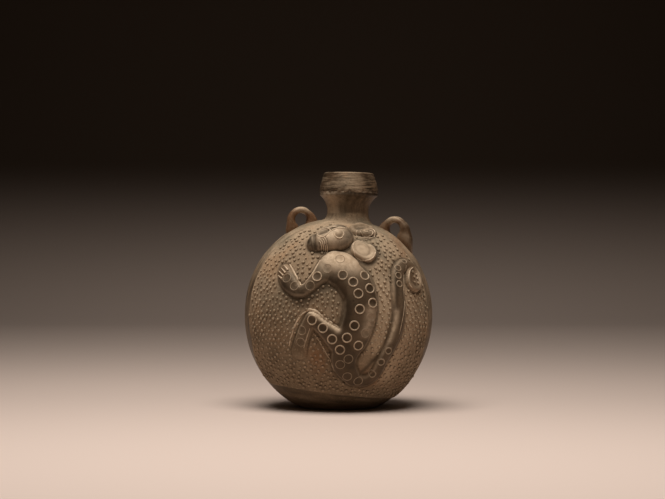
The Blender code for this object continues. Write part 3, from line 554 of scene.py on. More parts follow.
def clayMaterial(name, crustShare=1.0, footShadeAndDirt=0.0):
    material = bpy.data.materials.new(name)
    material.use_nodes = True
    tree = material.node_tree
    shader = tree.nodes["Principled BSDF"]
    wire = Wire(tree)
    place = wire.node("ShaderNodeTexCoord", {}, {}, 3)
    level = wire.node("ShaderNodeSeparateXYZ", {}, {0: place}, 2)

    def cloud(kind, at=place):
        scale, detail, roughness = clay[kind]
        return wire.node("ShaderNodeTexNoise", {"noise_dimensions": "3D"},
                         {"Vector": at, "Scale": scale, "Detail": detail, "Roughness": roughness})

    def mask(attribute):
        return wire.node("ShaderNodeAttribute", {"attribute_name": attribute}, {}, 2)

    def portion(source, tone):
        low, high, share = clay[tone]
        return source.span(low, high) * share

    patches, smudges, hues = cloud("patches"), cloud("smudges"), cloud("hues")
    flecks, specks, grain = cloud("flecks"), cloud("specks"), cloud("grain")
    height = level.span(*clay["crustUp"])
    crust = patches.span(*clay["paleFrom"]).mixed(clay["crust"], clay["crustPale"])
    crust = portion(hues, "olive").mixed(crust, clay["crustOlive"])
    crust = portion(hues, "orange").mixed(crust, clay["crustOrange"])
    lowTone = ((1.0 - height) * clay["lowShare"] + portion(smudges, "lowBrown")).clamped()
    crust = lowTone.mixed(crust, clay["crustBrown"])
    redness = patches.span(*clay["redLow"]) * (1.0 - height) * clay["redShare"]
    redness = redness + mask("reddened") * smudges.span(*clay["redHere"])
    crust = redness.clamped().mixed(crust, clay["red"])
    crusted = mask("crusted")
    crust = (crusted * (0.5 + patches)).clamped().mixed(crust, clay["crustPale"])
    crust = (crusted * -1.0 * (0.5 + smudges)).clamped().mixed(crust, clay["crustBrown"])
    crust = portion(specks, "brownSpecks").mixed(crust, clay["crustBrown"])
    crust = portion(specks, "paleSpecks").mixed(crust, clay["crustPale"])
    dark = smudges.span(*clay["sootFrom"]).mixed(clay["burnished"], clay["sootAndShade"])

    # smoothing streaks: along the side band, round the collar and down the throat
    pull = clay["streakPull"]
    sideways = wire.node("ShaderNodeSeparateXYZ", {}, {0: place})
    alongBand = wire.node("ShaderNodeCombineXYZ", {}, {0: mask("inset"), 1: sideways * pull, 2: level * pull})
    roundCollar = wire.node("ShaderNodeMapping", {}, {"Vector": place, "Scale": (pull, pull, 1.0)})
    downThroat = wire.node("ShaderNodeMapping", {}, {"Vector": place, "Scale": (1.0, 1.0, pull)})
    streaks = (mask("sideBand") * (cloud("bandStreaks", alongBand) - 0.5)
               + mask("collar") * (cloud("collarStreaks", roundCollar) - 0.5)
               + mask("throat") * (cloud("throatStreaks", downThroat) - 0.5))
    burnish = (mask("burnish") + streaks * clay["streakDepth"]).clamped()

    cover = (crustShare * (1.0 - burnish) - portion(flecks, "bareFlecks")).clamped()
    colour = cover.mixed(dark, crust)
    # painted shade in hollows, cuts, under the limbs and the collar and inside the jar, with soot and a stain
    shadeAndSootMix = mask("recess") * (clay["recessShare"] + (1.0 - clay["recessShare"]) * smudges)
    colour = shadeAndSootMix.clamped().mixed(colour, clay["sootAndShade"])
    # paler where worn, and painted highlights where the wear mask carries the chest, the head's top, ridges
    # and lug tops
    wornAndHighlight = (mask("wear") * (clay["wornShare"] + portion(flecks, "wornFlecks"))).clamped()
    colour = wornAndHighlight.mixed(colour, clay["worn"])
    # pellets: painted shade with dirt at their feet, and a painted highlight with wear on their crowns
    if footShadeAndDirt:
        tip = mask("tip")
        colour = ((1.0 - tip) * footShadeAndDirt).clamped().mixed(colour, clay["sootAndShade"])
        colour = (tip * (clay["topShare"] + portion(specks, "topSpecks"))).mixed(colour, clay["pelletTopHighlight"])
    roughness = clay["darkGloss"] + cover * clay["crustDull"] + flecks * clay["fleckDull"]
    roughness = (roughness - wornAndHighlight * clay["wornGloss"]).clamped()
    relief = wire.node("ShaderNodeBump", {}, {
        "Strength": clay["bump"], "Distance": clay["bumpDepth"] * mm,
        "Height": grain * clay["grainBump"] + flecks + smudges * clay["smudgeBump"]})
    for socket, value in (("Base Color", colour), ("Roughness", roughness), ("Normal", relief)):
        tree.links.new(value.socket, shader.inputs[socket])
    shader.inputs["Specular IOR Level"].default_value = clay["specular"]
    shader.inputs["Specular Tint"].default_value = clay["gloss"]
    return material


skinClay = clayMaterial("jarClay")
ridgeClay = clayMaterial("ridgeClay", crustShare=0.9)
bumpClay = clayMaterial("bumpClay", footShadeAndDirt=0.75)
print("clay mixed")

skin = {
    "columns": 352, "frontSpacing": 0.80, "backSpacing": 3.6, "backEase": 0.3,
    "plainRow": 0.95, "headRow": 0.56, "headFrom": math.radians(33.0), "headEase": 0.12,
    "neckEvery": 2, "innerEvery": 8, "innerRows": 22,
}
neck = {
    "throatRadius": 17.6, "throatRise": 5.0,
    "flareRadius": 24.8, "flareLength": 14.6, "flareCurve": 2.4,
    "collarRadius": 25.2, "undercut": 2.7, "collarLength": 14.9, "camber": 0.35,
    "lipRadius": 21.6, "lipRound": 1.8, "wall": 4.6, "tilt": math.radians(1.2), "shift": 0.9,
    "stria": 0.07, "striaPitch": 0.95, "rough": 0.16, "chip": 0.9, "chipReach": 2.6, "chipped": (0.12, 0.25),
    "filletBurnish": 0.25, "burnish": 0.35, "flareBurnish": 0.5,
    "bandShade": 0.95, "bandUnder": 1.9, "bandWidth": 2.2,  # painted shade: black in the shade of the collar's foot
    "stainSoot": 0.72, "stainTurn": 0.15, "stainSpan": 0.75,
    # paler at the throat's left, and a painted highlight in the collar's middle
    "paleTurn": -0.85, "shineTurn": 0.05, "paleAndShineSpan": 0.5, "paleAndShineShare": 0.36, "paleWear": 0.5,
    "rimWear": 0.5, "rimWidth": 0.5,
}
throatHeight = body["crown"] + neck["throatRise"]
collarFoot = throatHeight + neck["flareLength"] + neck["undercut"]
lipFoot = collarFoot + neck["collarLength"]


def evenSteps(low, high, spacingAt, count=None):
    steps = [low]
    while steps[-1] < high:
        steps.append(steps[-1] + spacingAt(steps[-1]))
    steps = np.array(steps)
    steps = low + (steps - low) * (high - low) / (steps[-1] - low)
    if count:
        steps = np.interp(np.linspace(0, 1, count + 1), np.linspace(0, 1, len(steps)), steps)
    return steps


def skinTurns():
    def spacing(turn):
        back = above(abs(turn), body["frontArc"], skin["backEase"])
        step = skin["frontSpacing"] + (skin["backSpacing"] - skin["frontSpacing"]) * back
        return step / body["halfWidth"]

    return evenSteps(-math.pi, math.pi, spacing, skin["columns"])[:-1]


def skinClimbs():
    def spacing(climb):
        head = above(climb, skin["headFrom"], skin["headEase"])
        step = skin["plainRow"] + (skin["headRow"] - skin["plainRow"]) * head
        return step / stretchAt(0.0, climb)[1]

    return evenSteps(-footAngle, rootAngle - 1e-4, spacing)


def neckProfile():
    # radius, height and how much collar texture a ring carries, from the fillet over the lip
    rings = []
    for t in np.linspace(0.0, 1.0, 20):
        radius = neck["throatRadius"] + (neck["flareRadius"] - neck["throatRadius"]) * t ** neck["flareCurve"]
        rings.append((radius, throatHeight + neck["flareLength"] * t, 0.25))
    bandTop = collarFoot - 0.3
    for t in (0.35, 0.7, 1.0):
        rings.append((neck["flareRadius"] - 0.1 * t, throatHeight + neck["flareLength"]
                      + t * (bandTop - throatHeight - neck["flareLength"]), 0.4))
    for t in np.linspace(0.0, 1.0, 24):
        camber = 2.0 * t * (1.0 - t) * neck["camber"]
        radius = neck["collarRadius"] + (neck["lipRadius"] - neck["collarRadius"]) * t ** 1.25 + camber
        rings.append((radius, collarFoot + neck["collarLength"] * t, 1.0))
    for angle in np.radians((25, 50, 75, 100)):
        rings.append((neck["lipRadius"] - neck["lipRound"] * (1.0 - math.cos(angle)),
                      lipFoot + neck["lipRound"] * math.sin(angle) * 0.98, 0.6))
    rings.append((neck["lipRadius"] - neck["wall"] + 0.8, lipFoot + 0.8 * neck["lipRound"], 0.4))
    rings.append((neck["lipRadius"] - neck["wall"], lipFoot + 0.1, 0.4))
    rings.append((neck["flareRadius"] - neck["wall"] - 2.0, collarFoot, 0.2))
    rings.append((neck["throatRadius"] - neck["wall"] + 2.0, throatHeight + 8.0, 0.2))
    rings.append((neck["throatRadius"] - neck["wall"], throatHeight + 2.0, 0.2))
    return rings


def neckRing(turns, radius, height, texture):
    x, y = np.sin(turns), -np.cos(turns)
    around = np.stack((x * radius, y * radius, np.full(len(turns), height)), axis=-1)
    ripple = neck["stria"] * texture * math.sin(height * 2 * math.pi / neck["striaPitch"])
    rough = neck["rough"] * texture * wander(around, 7.0, 2)
    if 0.0 <= height - collarFoot < neck["chipReach"]:
        near = 1.0 - (height - collarFoot) / neck["chipReach"]
        chipped = above(wander(around * (1, 1, 0.4), 3.4, 3), *neck["chipped"])
        rough = rough - neck["chip"] * near * chipped
    radius = radius + ripple + rough
    share = ease((height - throatHeight) / (neck["flareLength"] + neck["undercut"]))
    lean = share * math.tan(neck["tilt"]) * radius * x
    middle = body["neckOffset"] + neck["shift"] * share
    return np.stack((radius * x + middle, radius * y, height - lean), axis=-1)


def filletRings(turns):
    root = bodyPoint(turns, np.full(len(turns), rootAngle))
    rings = []
    for t in np.linspace(0.0, 1.0, 11)[1:-1]:
        angle = t * math.pi / 2
        radius = body["neckRoot"] - (body["neckRoot"] - neck["throatRadius"]) * math.sin(angle)
        ring = neckRing(turns, radius, throatHeight, 0.15)
        ring[:, 2] = root[:, 2] + (throatHeight - root[:, 2]) * (1.0 - math.cos(angle))
        rings.append(ring)
    return rings


def joinRings(faces, lower, upper):
    # the upper ring may have fewer points than the lower one, or more
    if len(upper) > len(lower):
        ratio = len(upper) // len(lower)
        for k in range(len(lower)):
            after = (k + 1) % len(lower)
            top = [upper[(k * ratio + j) % len(upper)] for j in range(ratio + 1)]
            faces.append((lower[k], lower[after], *reversed(top)))
        return
    ratio = len(lower) // len(upper)
    for k in range(len(upper)):
        after = (k + 1) % len(upper)
        low = [lower[(k * ratio + j) % len(lower)] for j in range(ratio + 1)]
        faces.append((*low, upper[after], upper[k]))


def joinRows(faces, rows, count):
    # joins the rows of a grid and gives the numbers of the first and the last
    rings = [list(range(row * count, (row + 1) * count)) for row in range(rows)]
    for lower, upper in zip(rings, rings[1:]):
        joinRings(faces, lower, upper)
    return rings[0], rings[-1]


# Where pellets may stand: pairs give where they start and over what length they grow
ground = {
    "offFigure": (1.3, 0.6), "offEdge": (2.6, 0.8),
    "ovalAt": (25.0, -48.8), "ovalFlat": 0.85, "offOval": (8.0, 1.0),
    "strip": ((6.3, 24.0), (6.3, 6.9), (3.0, -10.0)), "offStrip": (4.2, 0.8),
    "curl": ((76.8, 41.0), (76.8, 35.0)), "curlReach": 5.0,
}
# How dark each part of the shell is, with pairs again for where a tone starts or ends
tones = {
    "edgeStep": 1.8, "figureStep": 1.4,
    "leftSide": 0.62, "rightSide": 0.38, "sideBehind": (-62.0, 30.0), "sideAbove": (8.0, 10.0),
    "sideBelow": (150.0, 40.0),
    "foot": 0.5, "footPaler": 0.25, "footAcross": 35.0, "footBelow": (30.0, 14.0),
    # a dark line painted along the foot of the panel's border, as shade
    "border": 0.55, "borderWidth": 0.8, "borderAbove": (24.0, 10.0), "borderBelow": (140.0, 20.0),
    "bandAbove": (1.0, 6.0), "backBandAbove": (16.0, 8.0),
    "back": 0.60, "backPaler": 0.8, "backStep": 2.0, "base": 0.70, "baseBelow": (11.0, 6.0),
    "crest": (0.20, 0.40), "crestWear": 0.16, "wornAndHighlightWear": 0.8, "hollow": (0.12, 0.5), "hollowShade": 0.75,
    # the jar's inside is painted dark, as shade
    "inner": {"burnish": 0.7, "recess": 0.4}, "underside": {"burnish": 0.55, "wear": 0.3},
}


def frontMasks(points, relief):
    outline, inset = relief["outline"], relief["inset"]
    x, y, z = points.T
    plainSide = 1.0 - ease(inset / tones["edgeStep"])
    wornAndHighlight = washOf(wornAndHighlightPaths, points) * (outline < 0.0)
    burnish = relief["burnish"] * ease(-outline / tones["figureStep"]) * (1.0 - wornAndHighlight)
    side = plainSide * above(y, *tones["sideBehind"]) * above(z, *tones["sideAbove"])
    sideDark = np.where(x < 0.0, tones["leftSide"], tones["rightSide"])
    burnish = np.maximum(burnish, sideDark * side * below(z, *tones["sideBelow"]))
    footDark = tones["foot"] - tones["footPaler"] * ease(x / tones["footAcross"])
    burnish = np.maximum(burnish, footDark * plainSide * below(z, *tones["footBelow"]))
    border = bell(inset + tones["borderWidth"], tones["borderWidth"])
    border = border * above(z, *tones["borderAbove"]) * below(z, *tones["borderBelow"])
    oval = np.linalg.norm((points - onFront(*ground["ovalAt"])) * (1.0, 1.0, ground["ovalFlat"]), axis=1)
    stipple = above(outline, *ground["offFigure"]) * above(inset, *ground["offEdge"])
    stipple = stipple * above(oval, *ground["offOval"])
    stipple = stipple * above(pathDistance(ground["strip"], points), *ground["offStrip"])
    curlPits = bell(pathDistance(ground["curl"], points), ground["curlReach"])
    return {
        "burnish": burnish, "wornAndHighlight": wornAndHighlight, "stipple": np.maximum(stipple, curlPits > 0.5),
        "cuts": relief["cuts"], "sootAndShade": np.maximum(washOf(sootAndShadePaths, points), tones["border"] * border),
        "crusted": washOf(crustPaths, points) * (outline > -0.5), "reddened": washOf(redPaths, points),
        "sideBand": plainSide * above(z, *tones["bandAbove"]), "inset": inset * mm,
    }


def convexity(height, reach):
    # how far each point of the grid stands over its neighbourhood
    padded = np.pad(height, ((reach, reach), (0, 0)), mode="edge")
    rows = np.cumsum(np.vstack((np.zeros((1, padded.shape[1])), padded)), axis=0)
    mean = (rows[2 * reach + 1:] - rows[:-2 * reach - 1]) / (2 * reach + 1)
    wrapped = np.hstack((mean[:, -reach:], mean, mean[:, :reach]))
    columns = np.cumsum(np.hstack((np.zeros((len(wrapped), 1)), wrapped)), axis=1)
    mean = (columns[:, 2 * reach + 1:] - columns[:, :-2 * reach - 1]) / (2 * reach + 1)
    return height - mean


def backMasks(masks, base):
    # the same panel without a figure, and a dark ring at the very base, dark burnish with painted shade
    z, onBack = base[:, 2], base[:, 1] > 0.0
    inset = panelInset(base * (1.0, -1.0, 1.0))
    band = (1.0 - ease(inset / tones["edgeStep"])) * above(z, *tones["backBandAbove"])
    paler = 1.0 - tones["backPaler"] * ease(inset / tones["backStep"])
    masks["stipple"] = np.where(onBack, above(inset, *ground["offEdge"]), masks["stipple"])
    masks["inset"] = np.where(onBack, inset * mm, masks["inset"])
    masks["sideBand"] = np.where(onBack, band, masks["sideBand"])
    burnish = np.where(onBack, masks["burnish"] * paler, masks["burnish"])
    masks["burnish"] = np.maximum(burnish, tones["base"] * below(z, *tones["baseBelow"]))


def bodyGrid(turns, climbs):
    # points of the outer body, row by row from the foot, with the masks of its finish
    grid = np.meshgrid(climbs, turns, indexing="ij")
    climbAll, turnAll = grid[0].ravel(), grid[1].ravel()
    base = bodyPoint(turnAll, climbAll)
    front = np.abs(turnAll) < body["frontArc"] + 0.1
    relief = reliefAt(base[front])
    height = np.zeros(len(base))
    height[front] = relief["height"]
    masks = {}
    for mask, values in frontMasks(base[front], relief).items():
        masks[mask] = np.zeros(len(base))
        masks[mask][front] = values
    masks["burnish"][~front] = tones["back"] * below(base[~front, 2], *tones["sideBelow"])
    backMasks(masks, base)
    points = plainPoint(turnAll, climbAll) + bodyNormal(turnAll, climbAll) * height[:, None]
    crest = convexity(height.reshape(grid[0].shape), 2).ravel()
    hollow = convexity(height.reshape(grid[0].shape), 4).ravel()
    cuts = masks.pop("cuts")
    worn = above(crest, *tones["crest"]) * tones["crestWear"] + tones["wornAndHighlightWear"] * masks.pop("wornAndHighlight")
    masks["wear"] = worn * (1.0 - cuts)
    # painted shade: hollows and cuts darkened, joined by the painted shade and soot under the limbs
    recess = np.maximum(above(-hollow, *tones["hollow"]) * tones["hollowShade"], cuts)
    masks["recess"] = np.maximum(recess, masks.pop("sootAndShade"))
    masks["collar"] = masks["throat"] = np.zeros(len(base))
    return points, masks


# The shell of one piece: it starts as the body's grid and grows on ring by ring
class Shell:
    def __init__(self, points, masks, count):
        self.points = [points]
        self.masks = {mask: [values] for mask, values in masks.items()}
        self.total = len(points)
        self.faces = []
        self.foot, self.last = joinRows(self.faces, self.total // count, count)

    def addRing(self, ring, values):
        self.points.append(ring)
        for mask, parts in self.masks.items():
            parts.append(np.broadcast_to(values.get(mask, 0.0), len(ring)))
        self.total += len(ring)
        return list(range(self.total - len(ring), self.total))

    def grow(self, ring, **values):
        upper = self.addRing(ring, values)
        joinRings(self.faces, self.last, upper)
        self.last = upper

    def growFoot(self, ring, **values):
        inner = self.addRing(ring, values)
        joinRings(self.faces, inner, self.foot)
        self.foot = inner


def growNeck(shell, turns):
    fillets = filletRings(turns)
    for number, ring in enumerate(fillets):
        share = number / len(fillets)
        shell.grow(ring, burnish=neck["filletBurnish"] * share, throat=share)
    for radius, height, texture in neckProfile():
        ring = neckRing(turns, radius, height, texture)
        onThroat = height < collarFoot
        flare = np.clip((height - throatHeight) / neck["flareLength"], 0.0, 1.0)
        band = bell(height - collarFoot + neck["bandUnder"], neck["bandWidth"])
        rim = bell(height - collarFoot, neck["rimWidth"]) * neck["rimWear"] * ease(wander(ring, 5.0, 4) * 3.0)
        stain = bell(turns - neck["stainTurn"], neck["stainSpan"]) * onThroat
        paleAndShine = bell(turns - neck["paleTurn" if onThroat else "shineTurn"], neck["paleAndShineSpan"])
        shell.grow(
            ring, burnish=neck["burnish"] + neck["flareBurnish"] * flare - neck["paleAndShineShare"] * paleAndShine,
            wear=np.maximum(rim, neck["paleWear"] * paleAndShine * onThroat),
            recess=np.maximum(band * neck["bandShade"], stain * neck["stainSoot"]),
            collar=float(not onThroat), throat=float(onThroat))


def makeSkin():
    turns, climbs = skinTurns(), skinClimbs()
    shell = Shell(*bodyGrid(turns, climbs), len(turns))
    growNeck(shell, turns[::skin["neckEvery"]])
    innerTurns = turns[::skin["innerEvery"]]
    for climb in np.linspace(rootAngle - 1e-4, -footAngle, skin["innerRows"]):
        inside = np.full(len(innerTurns), climb)
        ring = bodyPoint(innerTurns, inside) - body["wall"] * bodyNormal(innerTurns, inside)
        shell.grow(ring, **tones["inner"])
    shell.faces.append(tuple(shell.last))
    foot = bodyPoint(turns, np.full(len(turns), climbs[0]))
    for share, every in ((0.985, 1), (0.94, skin["neckEvery"]), (0.85, skin["innerEvery"])):
        shell.growFoot(foot[::every] * (share, share, 1.0), **tones["underside"])
    shell.faces.append(tuple(reversed(shell.foot)))
    merged = {mask: np.concatenate(parts) for mask, parts in shell.masks.items()}
    item = meshOf("jarSkin", np.vstack(shell.points), shell.faces, skinClay, merged)
    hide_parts("jar")
    finishPiece(item)
    return item


jarSkin = makeSkin()
print("skin made,", len(jarSkin.data.polygons), "faces")

lugs = {
    # skirts: how far the strap's foot spreads towards the neck and away from it
    "left": {"across": -32.2, "lift": 5.6, "turn": math.radians(12.0), "skirts": (4.5, 1.5), "shade": 0.15},
    "right": {"across": 48.2, "lift": 6.4, "turn": math.radians(-22.0), "skirts": (6.5, 3.2), "shade": 0.5},
    "forward": 2.0, "hole": 5.2, "thickness": 5.4, "width": 10.0, "sides": 28,
    "skirtStart": math.radians(45.0), "footShare": 0.25, "angleStep": 6.0, "wrap": 54.0,
    "sink": 0.5, "footSink": 0.75,  # how deep the feet go into the shoulder, in walls
    # the strap's top is painted paler, worn and less red, as a painted highlight
    "handMade": 0.22, "burnish": 0.35, "litTopPaler": 0.15, "wear": 0.25, "litTopWear": 0.5,
    "red": 1.3, "litTopRed": 0.9,
}


def shoulderUnder(point, sink):
    return float(crownHeightAt(point[0], point[1])) - sink * body["wall"]


def lugSections(centre, sideways, skirts):
    outerRadius = lugs["hole"] + lugs["thickness"]
    neckSide = math.copysign(1.0, body["neckOffset"] - centre[0])
    arch = []
    for angle in np.radians(np.arange(-lugs["wrap"], 180.1 + lugs["wrap"], lugs["angleStep"])):
        side = math.copysign(1.0, math.cos(angle))
        inner = centre + lugs["hole"] * math.cos(angle) * sideways
        inner[2] += lugs["hole"] * math.sin(angle)
        skirt = skirts[0] if side == neckSide else skirts[1]
        spread = skirt * max(0.0, math.sin(lugs["skirtStart"]) - math.sin(angle))
        reach = outerRadius * (math.cos(angle) if math.sin(angle) > 0.0 else side)
        outer = centre + (reach + side * spread) * sideways
        outer[2] = max(centre[2] + outerRadius * math.sin(angle), shoulderUnder(outer, lugs["sink"]))
        arch.append([inner, outer])
    legs = []
    for side, (_inner, outer) in ((1.0, arch[0]), (-1.0, arch[-1])):
        leg = [centre + side * lugs["hole"] * lugs["footShare"] * sideways, outer.copy()]
        for foot in leg:
            foot[2] = shoulderUnder(foot, lugs["footSink"])
        legs.append(leg)
    return [legs[0]] + arch + [legs[1]]


def makeLug(name, lug):
    y = -lugs["forward"]
    centre = np.array((lug["across"], y, crownHeightAt(lug["across"], y) + lug["lift"]))
    sideways = np.array((math.cos(lug["turn"]), math.sin(lug["turn"]), 0.0))
    through = np.array((math.sin(lug["turn"]), -math.cos(lug["turn"]), 0.0))
    half = lugs["width"] / 2.0
    sections = lugSections(centre, sideways, lug["skirts"])
    sides = lugs["sides"]
    points = []
    for inner, outer in sections:
        middle, reach = (inner + outer) / 2.0, (outer - inner) / 2.0
        for angle in np.arange(sides) * 2.0 * math.pi / sides:
            # a rounded strap: a squarish oval
            c, s = math.cos(angle), math.sin(angle)
            fat = (abs(c) ** 3 + abs(s) ** 3) ** (-1.0 / 3.0)
            points.append(middle + reach * c * fat - through * half * s * fat)
    faces = []
    first, last = joinRows(faces, len(sections), sides)
    faces += [tuple(reversed(first)), tuple(last)]
    points = np.array(points)
    outward = points - centre
    outward /= np.linalg.norm(outward, axis=1, keepdims=True)
    points = points + outward * (lugs["handMade"] * wander(points, 6.0, 5))[:, None]
    # painted highlight on the strap's top, and painted shade on the side away from the neck
    top = above(outward[:, 2], 0.5, 0.5)
    away = ease(outward @ sideways * math.copysign(1.0, lug["across"]))
    worn = np.maximum(ease(wander(points, 9.0, 6) * 2.0) * lugs["wear"], lugs["litTopWear"] * top)
    item = meshOf(name, points, faces, skinClay, {
        "burnish": lugs["burnish"] - lugs["litTopPaler"] * top + lug["shade"] * away,
        "wear": worn, "reddened": lugs["red"] - lugs["litTopRed"] * top})
    shell = bmesh.new()
    shell.from_mesh(item.data)
    bmesh.ops.recalc_face_normals(shell, faces=shell.faces)
    shell.to_mesh(item.data)
    shell.free()
    finishPiece(item)


for side in ("left", "right"):
    makeLug(side + "Lug", lugs[side])
print("lugs made")


def newTree(name, inputs):
    # gives the tree's wire, a way to take its inputs and a way to end it
    tree = bpy.data.node_groups.new(name, "GeometryNodeTree")
    tree.interface.new_socket("Geometry", in_out="INPUT", socket_type="NodeSocketGeometry")
    for label, kind, value in (*inputs, ("Clay", "NodeSocketMaterial", None)):
        socket = tree.interface.new_socket(label, in_out="INPUT", socket_type=kind)
        if value is not None:
            socket.default_value = value
    tree.interface.new_socket("Geometry", in_out="OUTPUT", socket_type="NodeSocketGeometry")
    given, result = tree.nodes.new("NodeGroupInput"), tree.nodes.new("NodeGroupOutput")
    wire = Wire(tree)

    def take(label):
        return Wire(tree, given.outputs[label])

    def end(shape):
        smooth = wire.node("GeometryNodeSetShadeSmooth", {}, {"Geometry": shape})
        real = wire.node("GeometryNodeRealizeInstances", {}, {"Geometry": smooth})
        dressed = wire.node("GeometryNodeSetMaterial", {}, {"Geometry": real, "Material": take("Clay")})
        tree.links.new(dressed.socket, result.inputs["Geometry"])
        return tree

    return wire, take, end


def growPiece(item, tree, values):
    grower = item.modifiers.new("grow", "NODES")
    grower.node_group = tree
    for socket in tree.interface.items_tree:
        if socket.item_type == "SOCKET" and socket.in_out == "INPUT" and socket.name in values:
            grower[socket.identifier] = values[socket.name]
    # the evaluated shape becomes an ordinary mesh, with no modifier left
    bpy.context.view_layer.update()
    shaped = bpy.data.meshes.new_from_object(item.evaluated_get(bpy.context.evaluated_depsgraph_get()))
    item.modifiers.clear()
    item.data = shaped
    shaped.name = item.name


def lineTree():
    # turns edges into low round ridges whose thickness follows an attribute
    wire, take, end = newTree("surfaceLines", (
        ("Thickness", "NodeSocketFloat", 0.5 * mm), ("Sides", "NodeSocketInt", 6),
        ("Unevenness", "NodeSocketFloat", 0.3)))
    curve = wire.node("GeometryNodeMeshToCurve", {}, {"Mesh": take("Geometry")})
    profile = wire.node("GeometryNodeCurvePrimitiveCircle", {}, {
        "Resolution": take("Sides"), "Radius": take("Thickness")})
    thick = wire.node("GeometryNodeInputNamedAttribute", {"data_type": "FLOAT"}, {"Name": "thick"})
    waves = wire.node("ShaderNodeTexNoise", {}, {"Scale": 420.0, "Detail": 1.0})
    scale = thick * (1.0 + (waves - 0.5) * take("Unevenness"))
    return end(wire.node("GeometryNodeCurveToMesh", {}, {
        "Curve": curve, "Profile Curve": profile, "Scale": scale, "Fill Caps": True}))


surfaceLines = lineTree()


def makeLines(name, chains, settings, masks):
    # chains are (points, thickness at each point, closed)
    points, edges, thick = [], [], []
    for line, width, closed in chains:
        first = len(points)
        points += [tuple(p * mm) for p in line]
        thick += list(np.broadcast_to(width, len(line)))
        edges += [(k, k + 1) for k in range(first, len(points) - 1)]
        if closed:
            edges.append((len(points) - 1, first))
    mesh = bpy.data.meshes.new(name)
    mesh.from_pydata(points, edges, [])
    storeMask(mesh, "thick", thick)
    item = addObject(name, mesh)
    growPiece(item, surfaceLines, settings)
    for mask, value in masks.items():
        storeMask(item.data, mask, value)
    finishPiece(item)


def ringLine(place, radius, count, lift=0.0):
    # a circle that follows the modelled surface round a place on the front
    turn, climb = (float(v[0]) for v in unroll(onFront(*place)))
    perTurn, perClimb = stretchAt(turn, climb)
    angles = np.arange(count) * 2.0 * math.pi / count
    return surfacePoint(turn + radius * np.cos(angles) / perTurn,
                        climb + radius * np.sin(angles) / perClimb, lift)


def surfaceLine(path, steps=4, lift=0.0):
    turn, climb = unroll([onFront(*place) for place in smoothPath(path, steps)])
    return surfacePoint(turn, climb, lift)


rings = {
    "Thickness": 0.56 * mm, "Sides": 7, "Unevenness": 0.7, "Clay": ridgeClay,
    "sink": -0.12, "count": 22, "tailCount": 18, "wornThickness": 0.75, "tailThickness": 0.95,
    "freshTone": {"burnish": 0.3, "wear": 0.7}, "wornTone": {"burnish": 0.3, "wear": 0.3},
}


def ringChains(places, radius, count, lift, thickness):
    return [(ringLine(place, radius, count, lift), thickness, True) for place in places]


freshRings = ringChains(spots["body"], spots["crest"], rings["count"], rings["sink"], 1.0)
wornRings = ringChains(spots["worn"], spots["crest"], rings["count"], rings["sink"] * 2,
                       rings["wornThickness"])
wornRings += ringChains(spots["tail"], spots["crest"] * spots["tailShare"], rings["tailCount"],
                        rings["sink"], rings["tailThickness"])
makeLines("spotRings", freshRings, rings, rings["freshTone"])
makeLines("wornRings", wornRings, rings, rings["wornTone"])

fineLines = {
    "Thickness": 0.58 * mm, "Sides": 6, "Unevenness": 0.5, "Clay": ridgeClay,
    "tone": {"burnish": 0.4, "wear": 0.9},
    "rims": {
        "leaf": ((-21.0, 77.2), (-17.8, 80.8), (-12.4, 82.0), (-7.9, 80.2), (-10.2, 76.2),
                 (-14.2, 73.9), (-18.5, 74.3), (-21.0, 77.2)),
        "lid": ((-4.2, 77.4), (-3.9, 74.8), (-1.8, 73.0), (0.6, 72.5), (3.1, 73.3), (4.6, 75.5),
                (4.5, 77.8)),
        "brow": ((-7.7, 77.7), (-4.5, 79.5), (-0.4, 80.7), (4.1, 81.2), (7.9, 82.2)),
        "highBrow": ((-8.6, 83.2), (-3.6, 84.4), (1.4, 85.0), (4.8, 86.2)),
        "upperEar": ((15.6, 87.0), (19.2, 89.6), (25.6, 90.2), (31.8, 87.4), (36.4, 81.8), (34.2, 79.4),
                     (27.4, 78.9), (20.2, 80.5), (16.3, 83.4), (15.6, 87.0)),
        "upperEarLeaf": ((18.2, 86.6), (21.6, 88.8), (26.4, 88.8), (31.2, 85.4), (33.2, 82.2),
                         (27.4, 81.2), (21.4, 82.6), (18.2, 86.6)),
        "lowerEar": ((14.0, 66.4), (15.4, 72.0), (21.0, 74.8), (28.6, 72.4), (34.6, 67.8), (36.2, 62.8),
                     (34.0, 58.2), (28.8, 55.9), (22.4, 57.2), (16.4, 61.2), (14.0, 66.4)),
        "curl": ((73.2, 29.0), (70.4, 33.0), (69.6, 39.0), (70.8, 45.4), (74.4, 48.4)),
    },
    "earRing": {"at": (24.2, 86.0), "radius": 1.6, "count": 14, "thickness": 0.9},
    "claws": (((-52.6, 43.6), (-57.4, 48.6)), ((-54.6, 41.0), (-59.6, 45.4)),
              ((-50.4, 46.4), (-54.8, 51.4)), ((-56.0, 38.0), (-61.2, 41.8))),
    "clawThickness": (1.5, 0.5), "clawLift": 0.1,
}


def whiskerChains(count=12):
    # low ridges between the cuts of the whiskers
    centre = onFront(*whiskers["at"])
    radii = np.array(whiskers["radii"])
    angles = np.radians(np.linspace(whiskers["from"] + 6.0, whiskers["to"] - 4.0, count))
    thickness = 0.35 + 0.5 * np.sin(np.linspace(0.2, 2.9, count))
    chains = []
    for radius in (radii[1:] + radii[:-1]) / 2.0:
        arc = [(centre[0] + radius * math.cos(a), centre[2] + radius * math.sin(a)) for a in angles]
        path = [(100.0 * x / body["halfWidth"], 100.0 * (z - body["widest"]) / crownRise) for x, z in arc]
        turn, climb = unroll([onFront(*place) for place in path])
        chains.append((surfacePoint(turn, climb, -0.1), thickness, False))
    return chains


